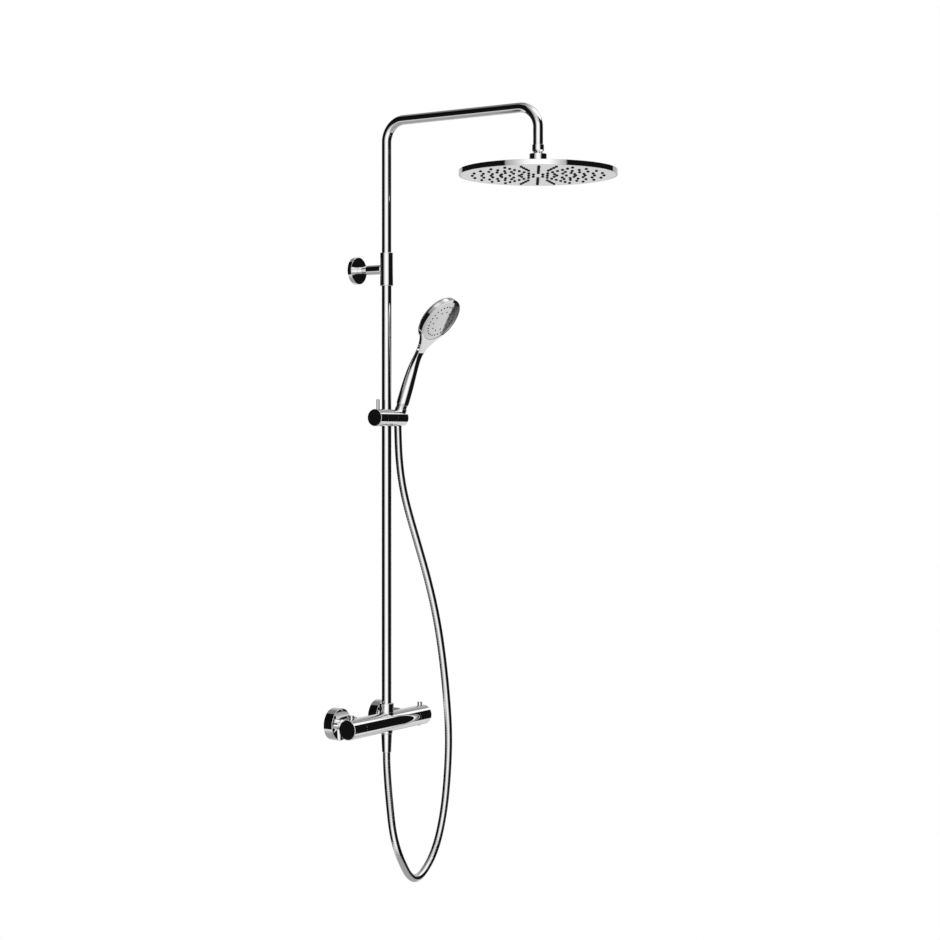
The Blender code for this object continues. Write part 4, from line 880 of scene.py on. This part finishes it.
def holder():
    start, end = 17.8 * MM, 52.8 * MM
    along, tilted = placed(SLIDER, RIGHT), placed(SEAT, HANDSET_AXIS)
    cup = lathe("hose_cup", CHROME, [
        (0, start), (SLIDER_RADIUS, start, EDGE), (SLIDER_RADIUS, end, 0.5 * MM), (0, end)], along, FINE)
    top = SLIDER_RADIUS + 4.5 * MM
    outer = cone_radius(top) + 1.2 * MM
    foot = 11.2 * MM
    carve(cup, solid_of("collar", [(0, foot), (outer, foot), (outer, top, 0.5 * MM), (0, top)], tilted),
          "UNION")
    axle_end = 26.7 * MM
    carve(cup, solid_of("hole", [(0, start - 5 * MM), (SCREW_ROOM, start - 5 * MM), (SCREW_ROOM, axle_end),
                                 (0, axle_end)], along, 48))
    low, room, over = 5.7 * MM, 8.5 * MM, 5 * MM
    carve(cup, solid_of("bore", [
        (0, top + over), (cone_radius(top + over) + GAP, top + over), (cone_radius(low) + GAP, low),
        (room, low - 1 * MM), (room, -4 * MM), (0, -4 * MM)], tilted))
    carve(cup, solid_of("bore", [(0, 0), (room, 0), (room, -CUT_PAST), (0, -CUT_PAST)], placed(SEAT, UP)))
    slot = 7.8 * MM
    reach = end - CUP_X + over
    for turn, low_z, high_z in ((0, -SLIDER_RADIUS - over, 1 * MM), (LEAN, -1 * MM, top + over)):
        made = bmesh.new()
        bmesh.ops.create_cube(made, size=1)
        size = Vector((reach, 2 * slot, high_z - low_z))
        middle = Vector((reach / 2, 0, (high_z + low_z) / 2))
        made.transform(Matrix.Translation(SEAT) @ Matrix.Rotation(turn, 4, "X") @ Matrix.Translation(middle)
                       @ Matrix.Diagonal((*size, 1)))
        carve(cup, finish_mesh(made, "slot", CHROME))
    clean_shading(cup, [(SLIDER, RIGHT, SLIDER_RADIUS), (SEAT, HANDSET_AXIS, outer), (SEAT, UP, room)])
    joins(cup, "holder", ["hose_holder"])
    narrow, wide, step = 4.4 * MM, 7.8 * MM, 14 * MM
    joins(lathe("hose_cone_nut", CHROME, [
        (CONE_WIDE, CONE_HIGH, 0.5 * MM), (CONE_THIN, CONE_LOW, 0.5 * MM), (narrow, CONE_LOW),
        (narrow, step), (wide, step), (wide, CONE_HIGH)], tilted), "hose_end", ["hose_upper_nut"])


# ---- hand shower -----------------------------------------------------------------------------------
FACE_FRONT = FACE_CENTRE + FACE_NORMAL * 5.7 * MM
FACE_RADIUS = 50.5 * MM
POCKET = 45 * MM
PLATE = 8 * MM
NECK_HALF = 7.3 * MM
NECK_FILLET = 80 * MM
GRIP_STEPS = 48
FLARE_STEPS = 28


def ease(value, low, high):
    t = min(1.0, max(0.0, (value - low) / (high - low)))
    return t * t * (3 - 2 * t)


def section(w, f, b, cf, cb, steps=16):
    """A rounded rectangle: half width, front and back depth, and the radii of its front and back corners."""
    points = []
    for x, y, c, first in ((w - cf, f - cf, cf, 0), (cf - w, f - cf, cf, 90), (cb - w, cb - b, cb, 180),
                           (w - cb, cb - b, cb, 270)):
        for k in range(steps + 1):
            a = math.radians(first + 90 * k / steps)
            points.append((x + c * math.cos(a), y + c * math.sin(a)))
    return points


def grip_into(made):
    """The grip: round at its foot, then a flat plate that widens into the rim of the head."""
    middle = PLATE / 2 - 0.2 * MM
    neck = FACE_FRONT - FACE_UP * 62 * MM - FACE_NORMAL * middle
    rise = (neck - HANDSET_FOOT).length
    bezier = [HANDSET_FOOT, HANDSET_FOOT + HANDSET_AXIS * rise * 0.5, neck - FACE_UP * rise * 0.3, neck]
    spots = []
    for i in range(GRIP_STEPS + 1):
        t = i / GRIP_STEPS
        weights = ((1 - t) ** 3, 3 * t * (1 - t) ** 2, 3 * t * t * (1 - t), t ** 3)
        spots.append((t, sum((w * p for w, p in zip(weights, bezier)), Vector())))
    for i in range(1, FLARE_STEPS + 1):
        spots.append((1.0, neck + FACE_UP * 30 * MM * i / FLARE_STEPS))
    fillet_centre = math.sqrt((FACE_RADIUS + NECK_FILLET) ** 2 - (NECK_HALF + NECK_FILLET) ** 2)
    tangent_at = fillet_centre * FACE_RADIUS / (FACE_RADIUS + NECK_FILLET)
    rings = []
    for (t, p), (_, _, _, tangent) in zip(spots, frames_along([p for _, p in spots])):
        size = NECK_HALF + 5.1 * MM * (1 - ease(t, 0.1, 1.0)) - (0.5 * MM if t == 0 else 0)
        below = (FACE_FRONT - p).dot(FACE_UP)
        w = size
        if below < tangent_at:
            w = math.sqrt(FACE_RADIUS ** 2 - below ** 2) - 0.3 * MM - (tangent_at - below) * 0.25
        elif below < fillet_centre:
            w += NECK_FILLET - math.sqrt(NECK_FILLET ** 2 - (fillet_centre - below) ** 2)
        k = ease(t, 0.4, 1.0)
        f = size * (1 - k) + (middle - 0.05 * MM) * k
        b = size * (1 - k) + (PLATE - middle) * k
        outline = section(w, f, b, min(w, f) * (1 - k) + 0.8 * MM * k, min(w, b) * (1 - k) + 2.5 * MM * k)
        front = tangent.cross(RIGHT).normalized()
        if front.dot(FACE_NORMAL) < 0:
            front = -front
        rings.append([made.verts.new(p + RIGHT * x + front * y) for x, y in outline])
    for one, two in zip(rings, rings[1:]):
        band(made, one, two)
    made.faces.new(rings[0])
    made.faces.new(rings[-1])
    bmesh.ops.remove_doubles(made, verts=made.verts[:], dist=0.0005 * MM)


def hand_shower():
    face = placed(FACE_FRONT, FACE_NORMAL)
    back, rim_fall = -25 * MM, 0.7 * MM
    dome = [(FACE_RADIUS * math.cos(a), -PLATE - (-back - PLATE) * math.sin(a))
            for a in (math.pi / 2 * k / 20 for k in range(1, 20))]
    shell = lathe("handset_shell", CHROME, [
        (0, 0), (POCKET, 0), (FACE_RADIUS, -rim_fall, 0.35 * MM), (FACE_RADIUS, -PLATE, 0.3 * MM), *dome,
        (0, back)], face, FINE)
    made = bmesh.new()
    grip_into(made)
    carve(shell, finish_mesh(made, "grip", CHROME), "UNION")
    tail, tail_low, tail_top = 7.5 * MM, 15.9 * MM, 32 * MM
    carve(shell, solid_of("tail", [(0, tail_low), (tail, tail_low), (tail, tail_top), (0, tail_top)],
                          placed(SEAT, HANDSET_AXIS), 48), "UNION")
    floor, over = -13.4 * MM, 5 * MM
    carve(shell, solid_of("pocket", [(0, floor), (POCKET, floor), (POCKET, over), (0, over)], face, FINE))
    clean_shading(shell, [(FACE_FRONT, FACE_NORMAL, FACE_RADIUS), (FACE_FRONT, FACE_NORMAL, POCKET)])
    joins(shell, "handset", ["handset_body"])
    edge, crown, top, foot = POCKET - 0.3 * MM, 712 * MM, 0.9 * MM, -10.2 * MM
    skin = [(edge * k / 9, top - (edge * k / 9) ** 2 / 2 / crown) for k in range(9)]
    spray = lathe("handset_face", FACE_PLASTIC, [
        *skin, (edge, top - edge ** 2 / 2 / crown, 0.25 * MM), (edge, foot), (0, foot)], face, FINE)
    joins(spray, "spray_face", ["handset_spray_face"])
    made = bmesh.new()
    for count, radius, size in ((26, 34 * MM, 1.5), (10, 22 * MM, 1.4)):
        for k in range(count):
            a = 2 * math.pi * (k + 0.5) / count
            height = 0.8 * MM - radius ** 2 / 2 / crown
            spot = face @ Vector((radius * math.cos(a), radius * math.sin(a), height))
            nozzle_into(made, placed(spot, FACE_NORMAL), size * MM, 0.9 * MM)
    jets = finish_mesh(made, "handset_nozzles", NOZZLE)
    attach(jets, "spray_face")
    made = bmesh.new()
    bmesh.ops.create_cube(made, size=1)
    out = (RIGHT * 16 + FACE_UP * 42).normalized()
    across = out.cross(FACE_NORMAL)
    spot = Matrix((across, out, FACE_NORMAL)).transposed().to_4x4()
    extent = Matrix.Diagonal((6 * MM, 7 * MM, 1.4 * MM, 1))
    made.transform(Matrix.Translation(FACE_FRONT + out * 45.6 * MM) @ spot @ extent)
    bmesh.ops.bevel(made, geom=made.edges[:], offset=0.4 * MM, segments=3, affect="EDGES")
    tab = finish_mesh(made, "spray_selector_tab", RUBBER)
    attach(tab, "spray_face")


# ---- make it ---------------------------------------------------------------------------------------
hose_pieces, hose_length, hose_path = hose()
mixer()
handles()
riser()
arm()
rain_head()
slider()
hand_shower()
for node, look in CAD_LOOKS.items():
    NODES[node].data.materials.clear()
    NODES[node].data.materials.append(look)
